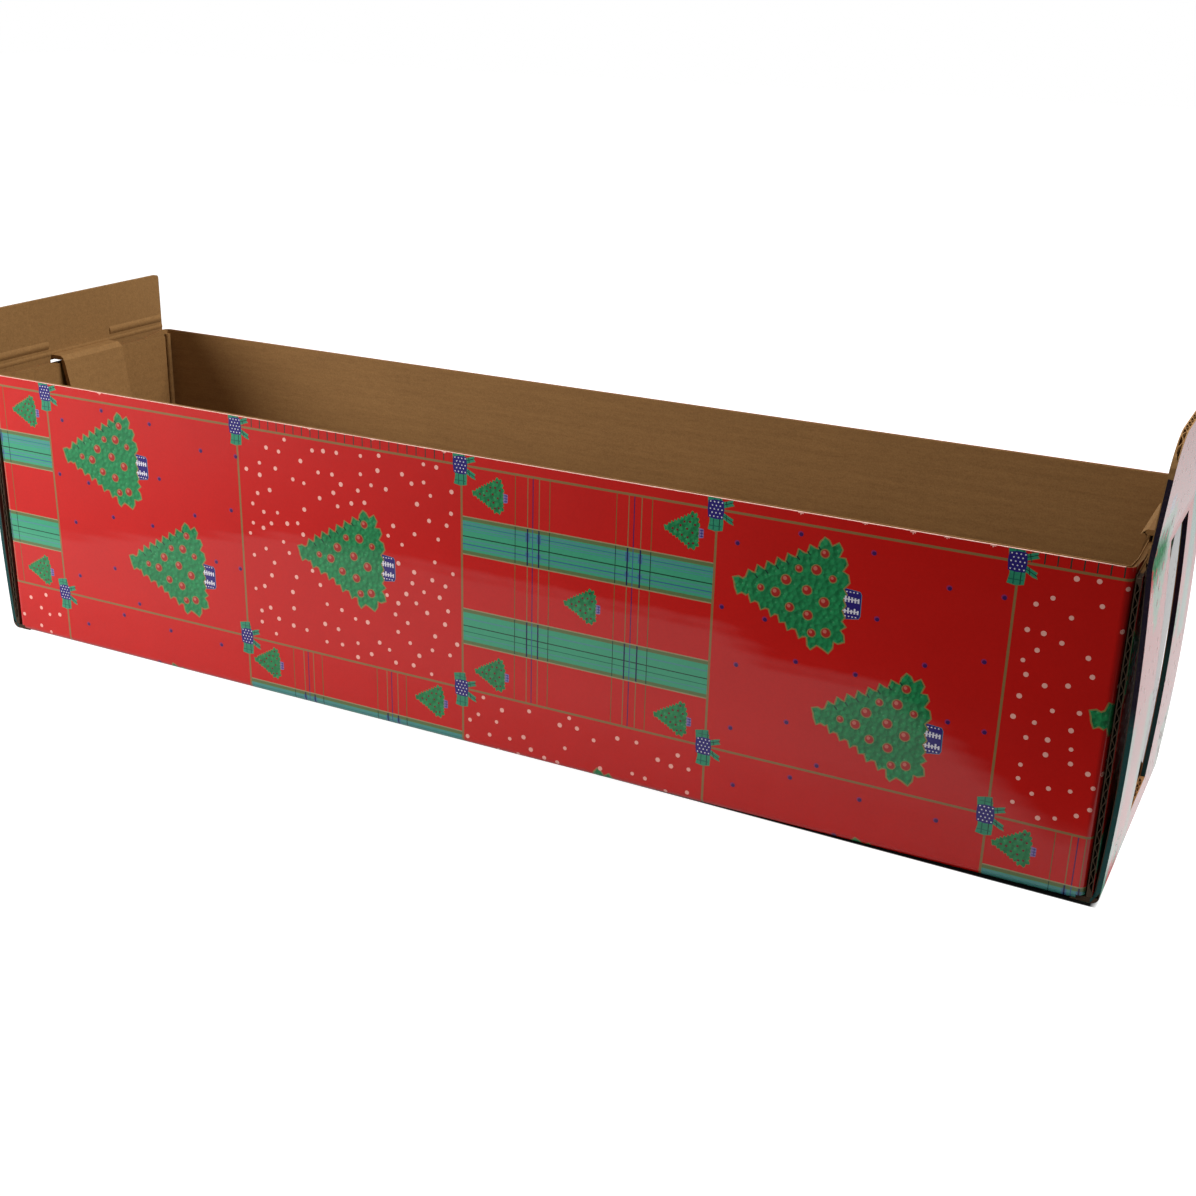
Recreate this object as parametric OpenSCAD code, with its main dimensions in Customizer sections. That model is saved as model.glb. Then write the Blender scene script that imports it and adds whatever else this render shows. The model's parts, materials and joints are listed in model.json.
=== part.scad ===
// Long open carton for one bottle, die cut and folded from printed corrugated board.
// X runs along the box, Y from front to back, Z up; the origin is the middle of the base.

/* [Box] */
// Outside length of the front wall
box_l = 330; // [240:1:420]
// Outside width over the front and back walls
box_w = 79; // [60:1:120]
// Height of the front and back walls
wall_h = 82; // [60:1:120]

/* [Board] */
// Thickness of the corrugated board
board_t = 1.3; // [1.1:0.1:1.8]
// Thickness of the liners on the two faces of the board
liner_t = 0.2; // [0.1:0.05:0.3]
// Thickness of the fluted sheet between the liners
medium_t = 0.18; // [0.1:0.02:0.24]
// Distance from one flute to the next
flute_pitch = 3.4; // [2.6:0.1:5]
// How deep the flutes stay open behind a cut edge
flute_depth = 8; // [3:1:12]
// Inside radius of every fold
fold_r = 0.7; // [0.4:0.1:1.2]
// Play between two layers of board that lie side by side
layer_gap = 0.3; // [0.2:0.05:0.6]
// How deep the liners stand open along an edge cut beside the flutes
edge_gap = 0.6; // [0.3:0.1:2]
// Radius of the bead that the inside liner throws up in an upright corner
bead_r = 0.9; // [0.8:0.05:1.2]

/* [End closures] */
// Height of the end creases above the rim of the walls
crease_rise = 1.6; // [1.3:0.1:4]
// How far each end panel bows outwards at half its height
end_bow = 1.4; // [0.4:0.1:3]
// How much further out an end panel stands at the back than at the front
end_skew = 1; // [0:0.1:1.5]
// How far the tops of the minor flaps lie below the rim
minor_drop = 1.6; // [0.8:0.1:4]
// Length of the slope on which a minor flap drops from the rim
minor_slope = 10; // [4:1:20]
// How far the front wall's minor flaps end before the back wall
minor_short = 3; // [1.2:0.2:8]
// Play inside a crease that lets one panel turn against the next
crease_gap = 0.15; // [0.1:0.05:0.3]

/* [Top flaps] */
// Height of the left top flap above its crease
left_flap_h = 16.5; // [12:0.5:40]
// Height of the right top flap above its crease
right_flap_h = 27.5; // [20:0.5:40]
// Outward lean of the right top flap in degrees
right_flap_lean = 4; // [0:0.5:10]
// Radius of the free corners of the left top flap
left_corner_r = 1; // [0.5:0.5:5]
// Radius of the free corners of the right top flap
right_corner_r = 9; // [1:0.5:12]
// How far the bead beside a top flap's crease stands out
bead_h = 0.4; // [0.2:0.1:0.5]
// Width of the bead beside a top flap's crease
bead_w = 2.5; // [1.5:0.5:4]
// How far each end of a flap or end panel stays back from the walls' outer faces
flap_inset = 0.7; // [0.3:0.1:2]

/* [Tongues] */
// Width of a tongue at its crease
tongue_root_w = 26; // [18:1:36]
// Width of a tongue at its free end
tongue_tip_w = 20; // [12:1:30]
// Radius of the corners at the free end of a tongue
tongue_corner_r = 3; // [1:0.5:6]
// Height of the window's sill above the ground
sill_h = 11; // [6:1:20]
// Width of the knife cut between a tongue and its window
knife_gap = 0.3; // [0.2:0.1:0.6]
// Angle at which a tongue hangs away from the end of the box
tongue_lean = 10; // [4:1:20]

/* [Hidden] */

half_l = box_l / 2;
half_w = box_w / 2;
half_t = board_t / 2;
// Radius of a fold at the middle of the board
mid_r = fold_r + half_t;
fold_steps = 6;
bow_steps = 12;
corner_steps = 6;
overlap = 0.05;

// Middles of the layers at an end, counted outwards from the middle of the box
front_minor_x = half_l - half_t;
back_minor_x = half_l + layer_gap + half_t;
end_x = half_l + board_t + 2 * layer_gap + half_t;

crease_z = wall_h + crease_rise;
end_top_z = crease_z - board_t - crease_gap;
end_w = box_w - 2 * flap_inset;
skew_angle = atan(end_skew / box_w);

// The bridge carries a tongue from the crease over the minor flaps
bridge_z = crease_z - board_t - 1.5 * crease_gap;
tongue_x = end_x - front_minor_x + board_t + layer_gap + end_skew / 2
    + tongue_root_w / 2 * sin(skew_angle);
joint_step = (board_t + crease_gap) * cos(45);
bridge_l = tongue_x - joint_step;
tongue_z = bridge_z - joint_step;
// The tongue is as long as its window, less the stretch over the minor flaps
tongue_l = crease_z - sill_h - tongue_x - knife_gap;

// Points [x, y, heading] round an arc, from heading a0 to heading a1, turning left
function bend(cx, cy, r, a0, a1, n) = [for (i = [0:n])
    let (a = a0 + (a1 - a0) * i / n)
    [cx + r * sin(a), cy - r * cos(a), a]];

// Outline of a sheet of board whose middle follows the points [x, y, heading]
function sheet(path, t) = concat(
    [for (p = path) [p[0] + t / 2 * sin(p[2]), p[1] - t / 2 * cos(p[2])]],
    [for (i = [len(path) - 1:-1:0])
        let (p = path[i]) [p[0] - t / 2 * sin(p[2]), p[1] + t / 2 * cos(p[2])]]);

// The bowed end panel as one arc, from the top of its lower fold to its crease
function bow_radius(h) = (h * h / 4 + end_bow * end_bow) / (2 * end_bow);
function bow_lean(h) = asin(h / 2 / bow_radius(h));
end_lean = bow_lean(end_top_z - half_t - mid_r);
end_low_z = half_t + mid_r * (1 - sin(end_lean));
end_r = bow_radius(end_top_z - end_low_z);
end_foot_x = end_x - mid_r * cos(end_lean);

end_bow_x = end_x + end_bow - end_r;
end_mid_z = (end_low_z + end_top_z) / 2;
end_fold = bend(end_foot_x, half_t + mid_r, mid_r, 0, 90 - end_lean, fold_steps);
end_arc = bend(end_bow_x, end_mid_z, end_r,
               90 - end_lean + 2 * end_lean / bow_steps, 90 + end_lean, bow_steps - 1);
end_path = concat([[front_minor_x - mid_r - board_t, half_t, 0]], end_fold, end_arc);
// The part of the end panel that stands clear of the base
end_upright = concat([end_fold[fold_steps - 1], end_fold[fold_steps]], end_arc);

// Thickness of the fluted layer between the two liners
core_t = board_t - 2 * liner_t;

wall_path = concat(
    [[0, half_t, 0]],
    bend(half_w - half_t - mid_r, half_t + mid_r, mid_r, 0, 90, fold_steps),
    [[half_w - half_t, wall_h, 90]]);

// Height of the middle of the fluted sheet, at x along the board
function wave(x) = -(board_t / 2 - liner_t - medium_t / 2) * cos(360 * x / flute_pitch);

// One hollow between the fluted sheet and a liner
module flute_hollow(depth) {
    linear_extrude(depth)
        polygon([for (i = [0:5])
            let (x = flute_pitch * 0.84 * (i / 5 - 0.5)) [x, wave(x) + medium_t / 2]]);
}

// Hollows of the flutes that a cut edge opens: the edge lies along X, and they run up Z
module flutes(edge_l, depth) {
    count = floor(edge_l / flute_pitch - 0.5);
    for (i = [0:count - 1])
        translate([(i - (count - 1) / 2) * flute_pitch, 0, 0]) {
            translate([-flute_pitch / 4, 0, 0]) flute_hollow(depth);
            translate([flute_pitch / 4, 0, 0]) rotate([0, 0, 180]) flute_hollow(depth);
        }
}

// Half of the base with one long wall folded up from it
module wall_sheet(length) {
    difference() {
        translate([-length / 2, 0, 0])
            rotate([90, 0, 90])
                linear_extrude(length) polygon(sheet(wall_path, board_t));
        translate([-length / 2 - overlap, half_w - half_t - core_t / 2, wall_h - edge_gap])
            cube([length + 2 * overlap, core_t, edge_gap + overlap]);
    }
}

// Fold at the end of a long wall and the minor flap that closes the end
module minor_flap(mid_x, free_y) {
    foot_z = board_t + layer_gap;
    fold_y = half_w - half_t - mid_r;
    slope_y = fold_y - minor_slope;
    low_z = wall_h - minor_drop;
    fold_path = concat(
        [[mid_x - mid_r - overlap, half_w - half_t, 0]],
        [for (p = bend(0, 0, mid_r, 0, 90, fold_steps))
            [mid_x - mid_r + p[0], fold_y - p[1], -p[2]]],
        [[mid_x, fold_y - overlap, -90]]);
    difference() {
        union() {
            translate([0, 0, foot_z])
                linear_extrude(wall_h - foot_z) polygon(sheet(fold_path, board_t));
            translate([mid_x - half_t, 0, 0])
                rotate([90, 0, 90])
                    linear_extrude(board_t)
                        polygon([[free_y, foot_z], [fold_y, foot_z], [fold_y, wall_h],
                                 [slope_y, low_z], [free_y, low_z]]);
            translate([mid_x - mid_r, fold_y, foot_z])
                cylinder(h = wall_h - foot_z - 2 * edge_gap, r = bead_r, $fn = 24);
        }
        translate([0, 0, wall_h - edge_gap])
            linear_extrude(edge_gap + overlap) polygon(sheet(fold_path, core_t));
        translate([mid_x - core_t / 2, 0, 0])
            rotate([90, 0, 90])
                linear_extrude(core_t)
                    polygon([[free_y - overlap, low_z - edge_gap], [slope_y, low_z - edge_gap],
                             [fold_y, wall_h - edge_gap], [fold_y, wall_h + overlap],
                             [slope_y, low_z + overlap], [free_y - overlap, low_z + overlap]]);
        translate([mid_x, free_y - overlap, (foot_z + wall_h - minor_drop) / 2])
            rotate([-90, -90, 0])
                flutes(wall_h - minor_drop - foot_z, flute_depth + overlap);
    }
}

// Puts what belongs to an end panel in its slightly skewed place
module skewed() {
    translate([half_l, -half_w, 0])
        rotate([0, 0, -skew_angle])
            translate([-half_l, half_w, 0]) children();
}

// Half width of a tongue at the distance s from its crease
function tongue_edge(s) =
    (tongue_root_w + (tongue_tip_w - tongue_root_w) * s / (crease_z - sill_h)) / 2;

// Opening in the end panel: y across it, z up, each side moved outwards by grow
module window_prism(top_s, grow) {
    foot_s = crease_z - sill_h;
    translate([end_x - 2 * board_t - end_bow, 0, 0])
        rotate([90, 0, 90]) linear_extrude(4 * board_t + 2 * end_bow)
            polygon([[-tongue_edge(top_s) - grow, crease_z - top_s],
                     [-tongue_edge(foot_s) - grow, sill_h],
                     [tongue_edge(foot_s) + grow, sill_h],
                     [tongue_edge(top_s) + grow, crease_z - top_s]]);
}

// Gap between the liners of an end panel, a stretch of its width long
module end_core(path, y0, y1) {
    translate([0, y1, 0]) rotate([90, 0, 0])
        linear_extrude(y1 - y0) polygon(sheet(path, core_t));
}

// End panel folded up from the base, with the window that its tongue was cut from
module end_panel() {
    sill_angle = asin((end_mid_z - sill_h) / end_r);
    skewed() difference() {
        union() {
            translate([0, end_w / 2, 0]) rotate([90, 0, 0])
                linear_extrude(end_w) polygon(sheet(end_path, board_t));
            translate([end_x, end_w / 2, end_top_z]) rotate([90, 0, 0])
                cylinder(h = end_w, r = half_t, $fn = 32);
        }
        window_prism(2 * board_t, knife_gap);
        intersection() {
            end_core(end_arc, -tongue_root_w, tongue_root_w);
            window_prism(3 * board_t, knife_gap + edge_gap);
        }
        end_core(end_upright, -end_w / 2 - overlap, -end_w / 2 + edge_gap);
        end_core(end_upright, end_w / 2 - edge_gap, end_w / 2 + overlap);
        translate([end_bow_x + end_r * cos(sill_angle), 0, sill_h])
            rotate([0, sill_angle, 0]) translate([0, 0, overlap]) rotate([180, 0, 90])
                flutes(2 * tongue_edge(crease_z - sill_h), sill_h - 3 * board_t + overlap);
    }
}

// Stretch of the tongue's board that runs from the crease over the minor flaps
module bridge() {
    bridge_w = tongue_root_w - knife_gap;
    skewed() translate([end_x, 0, bridge_z]) {
        translate([-bridge_l, -bridge_w / 2, -half_t]) cube([bridge_l, bridge_w, board_t]);
        translate([-bridge_l, bridge_w / 2, 0]) rotate([90, 0, 0])
            cylinder(h = bridge_w, r = half_t, $fn = 32);
    }
}

// One end of the tray: the two minor flaps, the end panel and the tongue's bridge
module tray_end() {
    mirror([0, 1, 0]) minor_flap(front_minor_x, -half_w + board_t + minor_short);
    minor_flap(back_minor_x, -half_w + layer_gap);
    end_panel();
    bridge();
}

module tray() {
    front_l = 2 * (front_minor_x - mid_r);
    back_l = 2 * (back_minor_x - mid_r);
    color("firebrick") union() {
        mirror([0, 1, 0]) wall_sheet(front_l);
        wall_sheet(back_l);
        tray_end();
        mirror([1, 0, 0]) tray_end();
    }
}

// Points of a quarter turn from heading a0, about a corner's middle
function corner(cx, cy, r, a0) = [for (p = bend(cx, cy, r, a0, a0 + 90, corner_steps))
    [p[0], p[1]]];

// Bead of the inside liner along a top flap's crease, on one side of the tongue
module crease_bead() {
    bead_l = (end_w - tongue_root_w) / 2 - 2 * edge_gap;
    bead_z = half_t + crease_gap;
    translate([0, end_w / 2 - edge_gap, 0]) rotate([90, 0, 0]) linear_extrude(bead_l)
        polygon(concat([[0, bead_z + bead_w], [0, bead_z]],
            [for (i = [0:corner_steps])
                [-half_t - bead_h * sin(180 * i / corner_steps),
                 bead_z + bead_w * i / corner_steps]]));
}

// Top flap on the crease of the right end, leaning outwards from upright
module top_flap(height, lean, corner_r) {
    side_y = end_w / 2 - corner_r;
    hollow_l = min(flute_depth + corner_r, height - 4 * board_t);
    skewed() translate([end_x, 0, crease_z]) rotate([0, lean, 0]) difference() {
        union() {
            translate([-half_t, 0, 0]) rotate([90, 0, 90]) linear_extrude(board_t)
                polygon(concat([[-end_w / 2, 0], [end_w / 2, 0]],
                               corner(side_y, height - corner_r, corner_r, 90),
                               corner(-side_y, height - corner_r, corner_r, 180)));
            translate([0, end_w / 2, 0]) rotate([90, 0, 0])
                cylinder(h = end_w, r = half_t, $fn = 32);
            crease_bead();
            mirror([0, 1, 0]) crease_bead();
        }
        translate([0, 0, height + overlap]) rotate([180, 0, 90])
            flutes(end_w, hollow_l + overlap);
        for (side = [-1, 1])
            translate([0, side * end_w / 2, (board_t + height - corner_r) / 2])
                cube([core_t, 2 * edge_gap, height - corner_r - board_t], center = true);
    }
}

// Tongue that hangs from the bridge of the right end, inside the box
module tongue() {
    tip_y = tongue_edge(tongue_l) - tongue_corner_r;
    tip_z = tongue_corner_r - tongue_l;
    skewed() translate([end_x - tongue_x, 0, tongue_z]) rotate([0, tongue_lean, 0])
        difference() {
            union() {
                translate([-half_t, 0, 0]) rotate([90, 0, 90]) linear_extrude(board_t)
                    polygon(concat([[tongue_root_w / 2, 0], [-tongue_root_w / 2, 0]],
                                   corner(-tip_y, tip_z, tongue_corner_r, 270),
                                   corner(tip_y, tip_z, tongue_corner_r, 0)));
                translate([0, tongue_root_w / 2, 0]) rotate([90, 0, 0])
                    cylinder(h = tongue_root_w, r = half_t, $fn = 32);
            }
            translate([0, 0, -tongue_l - overlap]) rotate([0, 0, 90])
                flutes(2 * tip_y, flute_depth + overlap);
        }
}

module left_top_flap() {
    color("peru") mirror([1, 0, 0]) top_flap(left_flap_h, 0, left_corner_r);
}

module right_top_flap() {
    color("peru") top_flap(right_flap_h, right_flap_lean, right_corner_r);
}

module left_tongue() {
    color("burlywood") mirror([1, 0, 0]) tongue();
}

module right_tongue() {
    color("burlywood") tongue();
}

tray();
left_top_flap();
right_top_flap();
left_tongue();
right_tongue();
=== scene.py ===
"""Printed bottle carton: its print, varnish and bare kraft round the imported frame.

Lengths in the functions are millimetres unless a name or comment says metres. The print is drawn
flat, as on the die-cut blank: u runs along the carton and v round it, and each panel then folds
its own part of the blank to where the board is.
"""

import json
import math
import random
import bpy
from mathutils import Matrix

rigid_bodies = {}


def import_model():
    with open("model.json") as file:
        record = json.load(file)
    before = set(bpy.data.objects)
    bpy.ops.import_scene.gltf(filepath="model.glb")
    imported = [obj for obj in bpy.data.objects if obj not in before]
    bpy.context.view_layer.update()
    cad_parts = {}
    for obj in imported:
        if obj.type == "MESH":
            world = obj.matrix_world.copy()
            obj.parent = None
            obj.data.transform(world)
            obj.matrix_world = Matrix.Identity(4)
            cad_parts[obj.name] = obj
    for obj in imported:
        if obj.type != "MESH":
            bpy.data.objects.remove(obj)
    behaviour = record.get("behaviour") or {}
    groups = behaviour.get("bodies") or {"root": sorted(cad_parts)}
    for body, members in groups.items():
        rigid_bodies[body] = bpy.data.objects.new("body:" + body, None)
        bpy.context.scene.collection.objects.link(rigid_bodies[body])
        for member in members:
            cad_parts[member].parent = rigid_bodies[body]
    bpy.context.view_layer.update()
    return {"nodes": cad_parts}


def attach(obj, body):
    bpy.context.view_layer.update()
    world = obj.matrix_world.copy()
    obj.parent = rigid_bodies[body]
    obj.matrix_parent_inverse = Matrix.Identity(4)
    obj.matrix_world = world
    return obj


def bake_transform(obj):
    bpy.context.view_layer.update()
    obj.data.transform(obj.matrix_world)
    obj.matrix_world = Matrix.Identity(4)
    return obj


bl_info = {
    "name": "Printed bottle carton",
    "version": (1, 0, 0),
    "blender": (4, 5, 0),
    "location": "3D View > Sidebar > Carton",
    "description": "Builds the print, board finish and studio of a folded bottle carton",
    "category": "Object",
}

import bpy
from mathutils import Matrix, Vector
from mathutils.geometry import delaunay_2d_cdt

for leftover in list(bpy.data.objects):
    bpy.data.objects.remove(leftover)
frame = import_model()

MM = 0.001

# The carton's own sizes
HALF_L = 165.0
HALF_W = 39.5
WALL_H = 82.0
BOARD_T = 1.3
HALF_T = BOARD_T / 2
FOLD_R = 0.7
MID_R = FOLD_R + HALF_T
OUTER_R = FOLD_R + BOARD_T
LAYER_GAP = 0.3
CREASE_GAP = 0.15
CREASE_Z = 83.6
END_BOW = 1.4
END_SKEW = 1.0
FLAP_INSET = 0.7
MINOR_DROP = 1.6
MINOR_SLOPE = 10.0
TONGUE_ROOT_W = 26.0
TONGUE_TIP_W = 20.0
SILL_H = 11.0
KNIFE_GAP = 0.3
TONGUE_LEAN = 10.0
SIDES = ((-1, "left"), (1, "right"))
# Each top flap's height, its lean in degrees and the radius of its free corners
FLAPS = {-1: (16.5, 0.0, 1.0), 1: (27.5, 4.0, 9.0)}
TONGUE_CORNER_R = 3.0
LINER_T = 0.2
FLUTE_PITCH = 3.4
WINDOW_TOP_Z = CREASE_Z - 2 * BOARD_T

FRONT_CORNER = HALF_L - HALF_T - MID_R
BACK_CORNER = HALF_L + LAYER_GAP + HALF_T - MID_R
END_X = HALF_L + BOARD_T + 2 * LAYER_GAP + HALF_T
END_TOP_Z = CREASE_Z - BOARD_T - CREASE_GAP
END_HALF_W = HALF_W - FLAP_INSET
SKEW = math.atan(END_SKEW / (2 * HALF_W))
MINOR_FOOT = BOARD_T + LAYER_GAP

BRIDGE_Z = CREASE_Z - BOARD_T - 1.5 * CREASE_GAP
TONGUE_X = (END_X - (HALF_L - HALF_T) + BOARD_T + LAYER_GAP + END_SKEW / 2
            + TONGUE_ROOT_W / 2 * math.sin(SKEW))
JOINT_STEP = (BOARD_T + CREASE_GAP) * math.cos(math.radians(45))
BRIDGE_L = TONGUE_X - JOINT_STEP
TONGUE_Z = BRIDGE_Z - JOINT_STEP
TONGUE_L = CREASE_Z - SILL_H - TONGUE_X - KNIFE_GAP

QUARTER = OUTER_R * math.pi / 2
FOLD_STEPS = 6
BOW_STEPS = 12

# Where the blank's folds lie, counted round the carton from the ground line of the front wall
V_RIM = WALL_H
V_FRONT_FOLD = OUTER_R
V_BASE_FRONT = V_FRONT_FOLD - QUARTER
V_BASE_BACK = V_BASE_FRONT - 2 * (HALF_W - OUTER_R)
V_BACK_FOLD = V_BASE_BACK - QUARTER
V_BACK_RIM = V_BACK_FOLD - (WALL_H - OUTER_R)


def bow_radius(height):
    """Radius of the end panel's bow over that height, at the middle of the board."""
    return (height * height / 4 + END_BOW * END_BOW) / (2 * END_BOW)


END_LEAN = math.asin((END_TOP_Z - HALF_T - MID_R) / 2
                     / bow_radius(END_TOP_Z - HALF_T - MID_R))
END_LOW_Z = HALF_T + MID_R * (1 - math.sin(END_LEAN))
END_R = bow_radius(END_TOP_Z - END_LOW_Z)
END_FOOT_X = END_X - MID_R * math.cos(END_LEAN)
S_FOOT = END_FOOT_X - FRONT_CORNER
S_BOW = S_FOOT + OUTER_R * (math.pi / 2 - END_LEAN)
S_TOP = S_BOW + (END_R + HALF_T) * 2 * END_LEAN
U_TOP = FRONT_CORNER + S_TOP
CREASE_L = CREASE_Z - END_TOP_Z
U_CREASE = U_TOP + CREASE_L

# The print's layers, lowest first
LIFT_PRINT = 0.02
LIFT_DOTS = 0.035
LIFT_STEP = 0.01

# The cut edges painted dark with shade: how far out they lie, how deep they reach and how many
# steps they take
LIFT_EDGE = 0.015
EDGE_DEPTH = BOARD_T - LINER_T - 0.02
PANEL_STEPS = 18
WINDOW_STEPS = 14
FLAP_STEPS = 4
CREASE_STEPS = 6

# The liner over the creases: how far it bulges, its steps, and how far it stays inside a tongue
LINER_BULGE = 0.16
PRINT_BENDS = 5
LINER_STEPS = 8
SKIN_STEPS = 4
SKIN_INSET = 0.2
BRIDGE_TURN = 45

# The frayed paper along the rims
RIM_SEED = 5
RIM_STEPS = 260
RIM_OUT = 0.008
RIM_OVER = 0.02
RIM_MARGIN = 0.05
RIM_RAGGED = 0.08
RIM_DROP = 0.07


def spaced(start, end, count):
    """Numbers from start to end in equal steps."""
    return [start + (end - start) * k / count for k in range(count + 1)]


# How far bend lines run past a flap's foot, and how far the print stays inside a tongue's edge
BEND_OVERRUN = 0.5
TONGUE_MARGIN = 0.05

# Folding: each function takes a point of the blank to a point and its outward normal


def skew_end(point, normal, side):
    """Turns a point of the right end into its skewed place, then mirrors it for the left end."""
    c, s = math.cos(SKEW), math.sin(SKEW)
    dx, dy = point[0] - HALF_L, point[1] + HALF_W
    x = HALF_L + dx * c + dy * s
    y = -HALF_W - dx * s + dy * c
    nx = normal[0] * c + normal[1] * s
    ny = -normal[0] * s + normal[1] * c
    return Vector((side * x, y, point[2])), Vector((side * nx, ny, normal[2]))


def girth(v):
    """y, z and the outward direction (y, z) at v round the front wall, base and back wall."""
    if v >= V_FRONT_FOLD:
        return -HALF_W, v, -1.0, 0.0
    if v > V_BASE_FRONT:
        a = (V_FRONT_FOLD - v) / OUTER_R
        return (-HALF_W + OUTER_R - OUTER_R * math.cos(a), OUTER_R - OUTER_R * math.sin(a),
                -math.cos(a), -math.sin(a))
    if v >= V_BASE_BACK:
        return -HALF_W + OUTER_R + V_BASE_FRONT - v, 0.0, 0.0, -1.0
    if v > V_BACK_FOLD:
        a = (V_BASE_BACK - v) / OUTER_R
        return (HALF_W - OUTER_R + OUTER_R * math.sin(a), OUTER_R - OUTER_R * math.cos(a),
                math.sin(a), -math.cos(a))
    return HALF_W, OUTER_R + V_BACK_FOLD - v, 1.0, 0.0


def fold_wrap(u, v):
    """Front wall, base, back wall and the minor flaps at their ends."""
    y, z, ny, nz = girth(v)
    corner = FRONT_CORNER if y < 0 else BACK_CORNER
    reach = abs(u) - corner
    if reach <= 0:
        return Vector((u, y, z)), Vector((0, ny, nz))
    side, across = math.copysign(1, u), math.copysign(1, y)
    if reach < QUARTER:
        a = reach / OUTER_R
        x, depth = corner + OUTER_R * math.sin(a), OUTER_R - OUTER_R * math.cos(a)
        normal = Vector((side * math.sin(a), across * math.cos(a), 0))
    else:
        x, depth = corner + OUTER_R, OUTER_R + reach - QUARTER
        normal = Vector((side, 0, 0))
    return Vector((side * x, across * (HALF_W - depth), z)), normal


def blank_y(v):
    """y of a point of the base, an end panel or a top flap."""
    return -HALF_W + OUTER_R + V_BASE_FRONT - v


def blank_v(y):
    """v of a point of the base, an end panel or a top flap."""
    return V_BASE_FRONT - HALF_W + OUTER_R - y


def fold_end(u, v):
    """End panel: a short stretch of base, its fold and the bowed panel up to its crease."""
    s = abs(u) - FRONT_CORNER
    if s <= S_FOOT:
        point, normal = (FRONT_CORNER + s, blank_y(v), 0.0), (0.0, 0.0, -1.0)
    elif s < S_BOW:
        a = (s - S_FOOT) / OUTER_R
        point = (END_FOOT_X + OUTER_R * math.sin(a), blank_y(v), OUTER_R - OUTER_R * math.cos(a))
        normal = (math.sin(a), 0.0, -math.cos(a))
    else:
        r = END_R + HALF_T
        a = -END_LEAN + (s - S_BOW) / r
        point = (END_X + END_BOW - END_R + r * math.cos(a), blank_y(v),
                 (END_LOW_Z + END_TOP_Z) / 2 + r * math.sin(a))
        normal = (math.cos(a), 0.0, math.sin(a))
    return skew_end(point, normal, math.copysign(1, u))


def end_u(z):
    """Distance along the blank to height z on an end panel's bow."""
    r = END_R + HALF_T
    a = math.asin((z - (END_LOW_Z + END_TOP_Z) / 2) / r)
    return FRONT_CORNER + S_BOW + r * (a + END_LEAN)


def fold_crease(u, v):
    """Strip between an end panel and its top flap."""
    point = (END_X + HALF_T, blank_y(v), END_TOP_Z + abs(u) - U_TOP)
    return skew_end(point, (1.0, 0.0, 0.0), math.copysign(1, u))


def fold_flap(u, v):
    """Outer face of a top flap."""
    side = int(math.copysign(1, u))
    lean = math.radians(FLAPS[side][1])
    w = abs(u) - U_CREASE
    point = (END_X + HALF_T * math.cos(lean) + w * math.sin(lean), blank_y(v),
             CREASE_Z - HALF_T * math.sin(lean) + w * math.cos(lean))
    return skew_end(point, (math.cos(lean), 0.0, -math.sin(lean)), side)


def fold_tongue(u, v):
    """Printed face of a tongue, which is turned towards the end of the carton."""
    lean = math.radians(TONGUE_LEAN)
    w = U_CREASE - TONGUE_X - abs(u)
    point = (END_X - TONGUE_X + HALF_T * math.cos(lean) - w * math.sin(lean), blank_y(v),
             TONGUE_Z - HALF_T * math.sin(lean) - w * math.cos(lean))
    return skew_end(point, (math.cos(lean), 0.0, -math.sin(lean)), math.copysign(1, u))


# The parts of the blank


def mirrored(points):
    """The same outline on the other side of u = 0."""
    return [(-u, v) for u, v in reversed(points)]


def tongue_edge(s, grow):
    """Half width of a tongue at distance s from its crease."""
    return (TONGUE_ROOT_W + (TONGUE_TIP_W - TONGUE_ROOT_W) * s / (CREASE_Z - SILL_H)) / 2 + grow


def wrap_outline():
    """Outline of the wrap on the blank, with its four minor flaps."""
    front_flap = FRONT_CORNER + QUARTER
    back_flap = BACK_CORNER + QUARTER
    back_end = back_flap + 2 * HALF_W - OUTER_R - LAYER_GAP
    foot = V_BACK_FOLD + OUTER_R - MINOR_FOOT
    right = [
        (front_flap, V_RIM), (front_flap + MINOR_SLOPE, V_RIM - MINOR_DROP),
        (front_flap + MINOR_SLOPE, MINOR_FOOT), (FRONT_CORNER, MINOR_FOOT),
        (FRONT_CORNER, V_BASE_BACK), (BACK_CORNER, V_BASE_BACK), (BACK_CORNER, foot),
        (back_end, foot), (back_end, V_BACK_RIM + MINOR_DROP),
        (back_flap + MINOR_SLOPE, V_BACK_RIM + MINOR_DROP), (back_flap, V_BACK_RIM),
    ]
    return right + mirrored(right)


def wrap_creases():
    """Lines along which the wrap bends."""
    lines = []
    for k in range(FOLD_STEPS + 1):
        step = QUARTER * k / FOLD_STEPS
        for v in (V_FRONT_FOLD - step, V_BASE_BACK - step):
            lines.append(((-BACK_CORNER, v), (BACK_CORNER, v)))
        for side in (-1, 1):
            u = side * (FRONT_CORNER + step)
            lines.append(((u, MINOR_FOOT), (u, V_RIM)))
            u = side * (BACK_CORNER + step)
            lines.append(((u, V_BACK_FOLD + BEND_OVERRUN), (u, V_BACK_RIM)))
    return lines


def across(side, u, v0, v1):
    """A line across an end panel or flap."""
    return ((side * u, v0), (side * u, v1))


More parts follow.
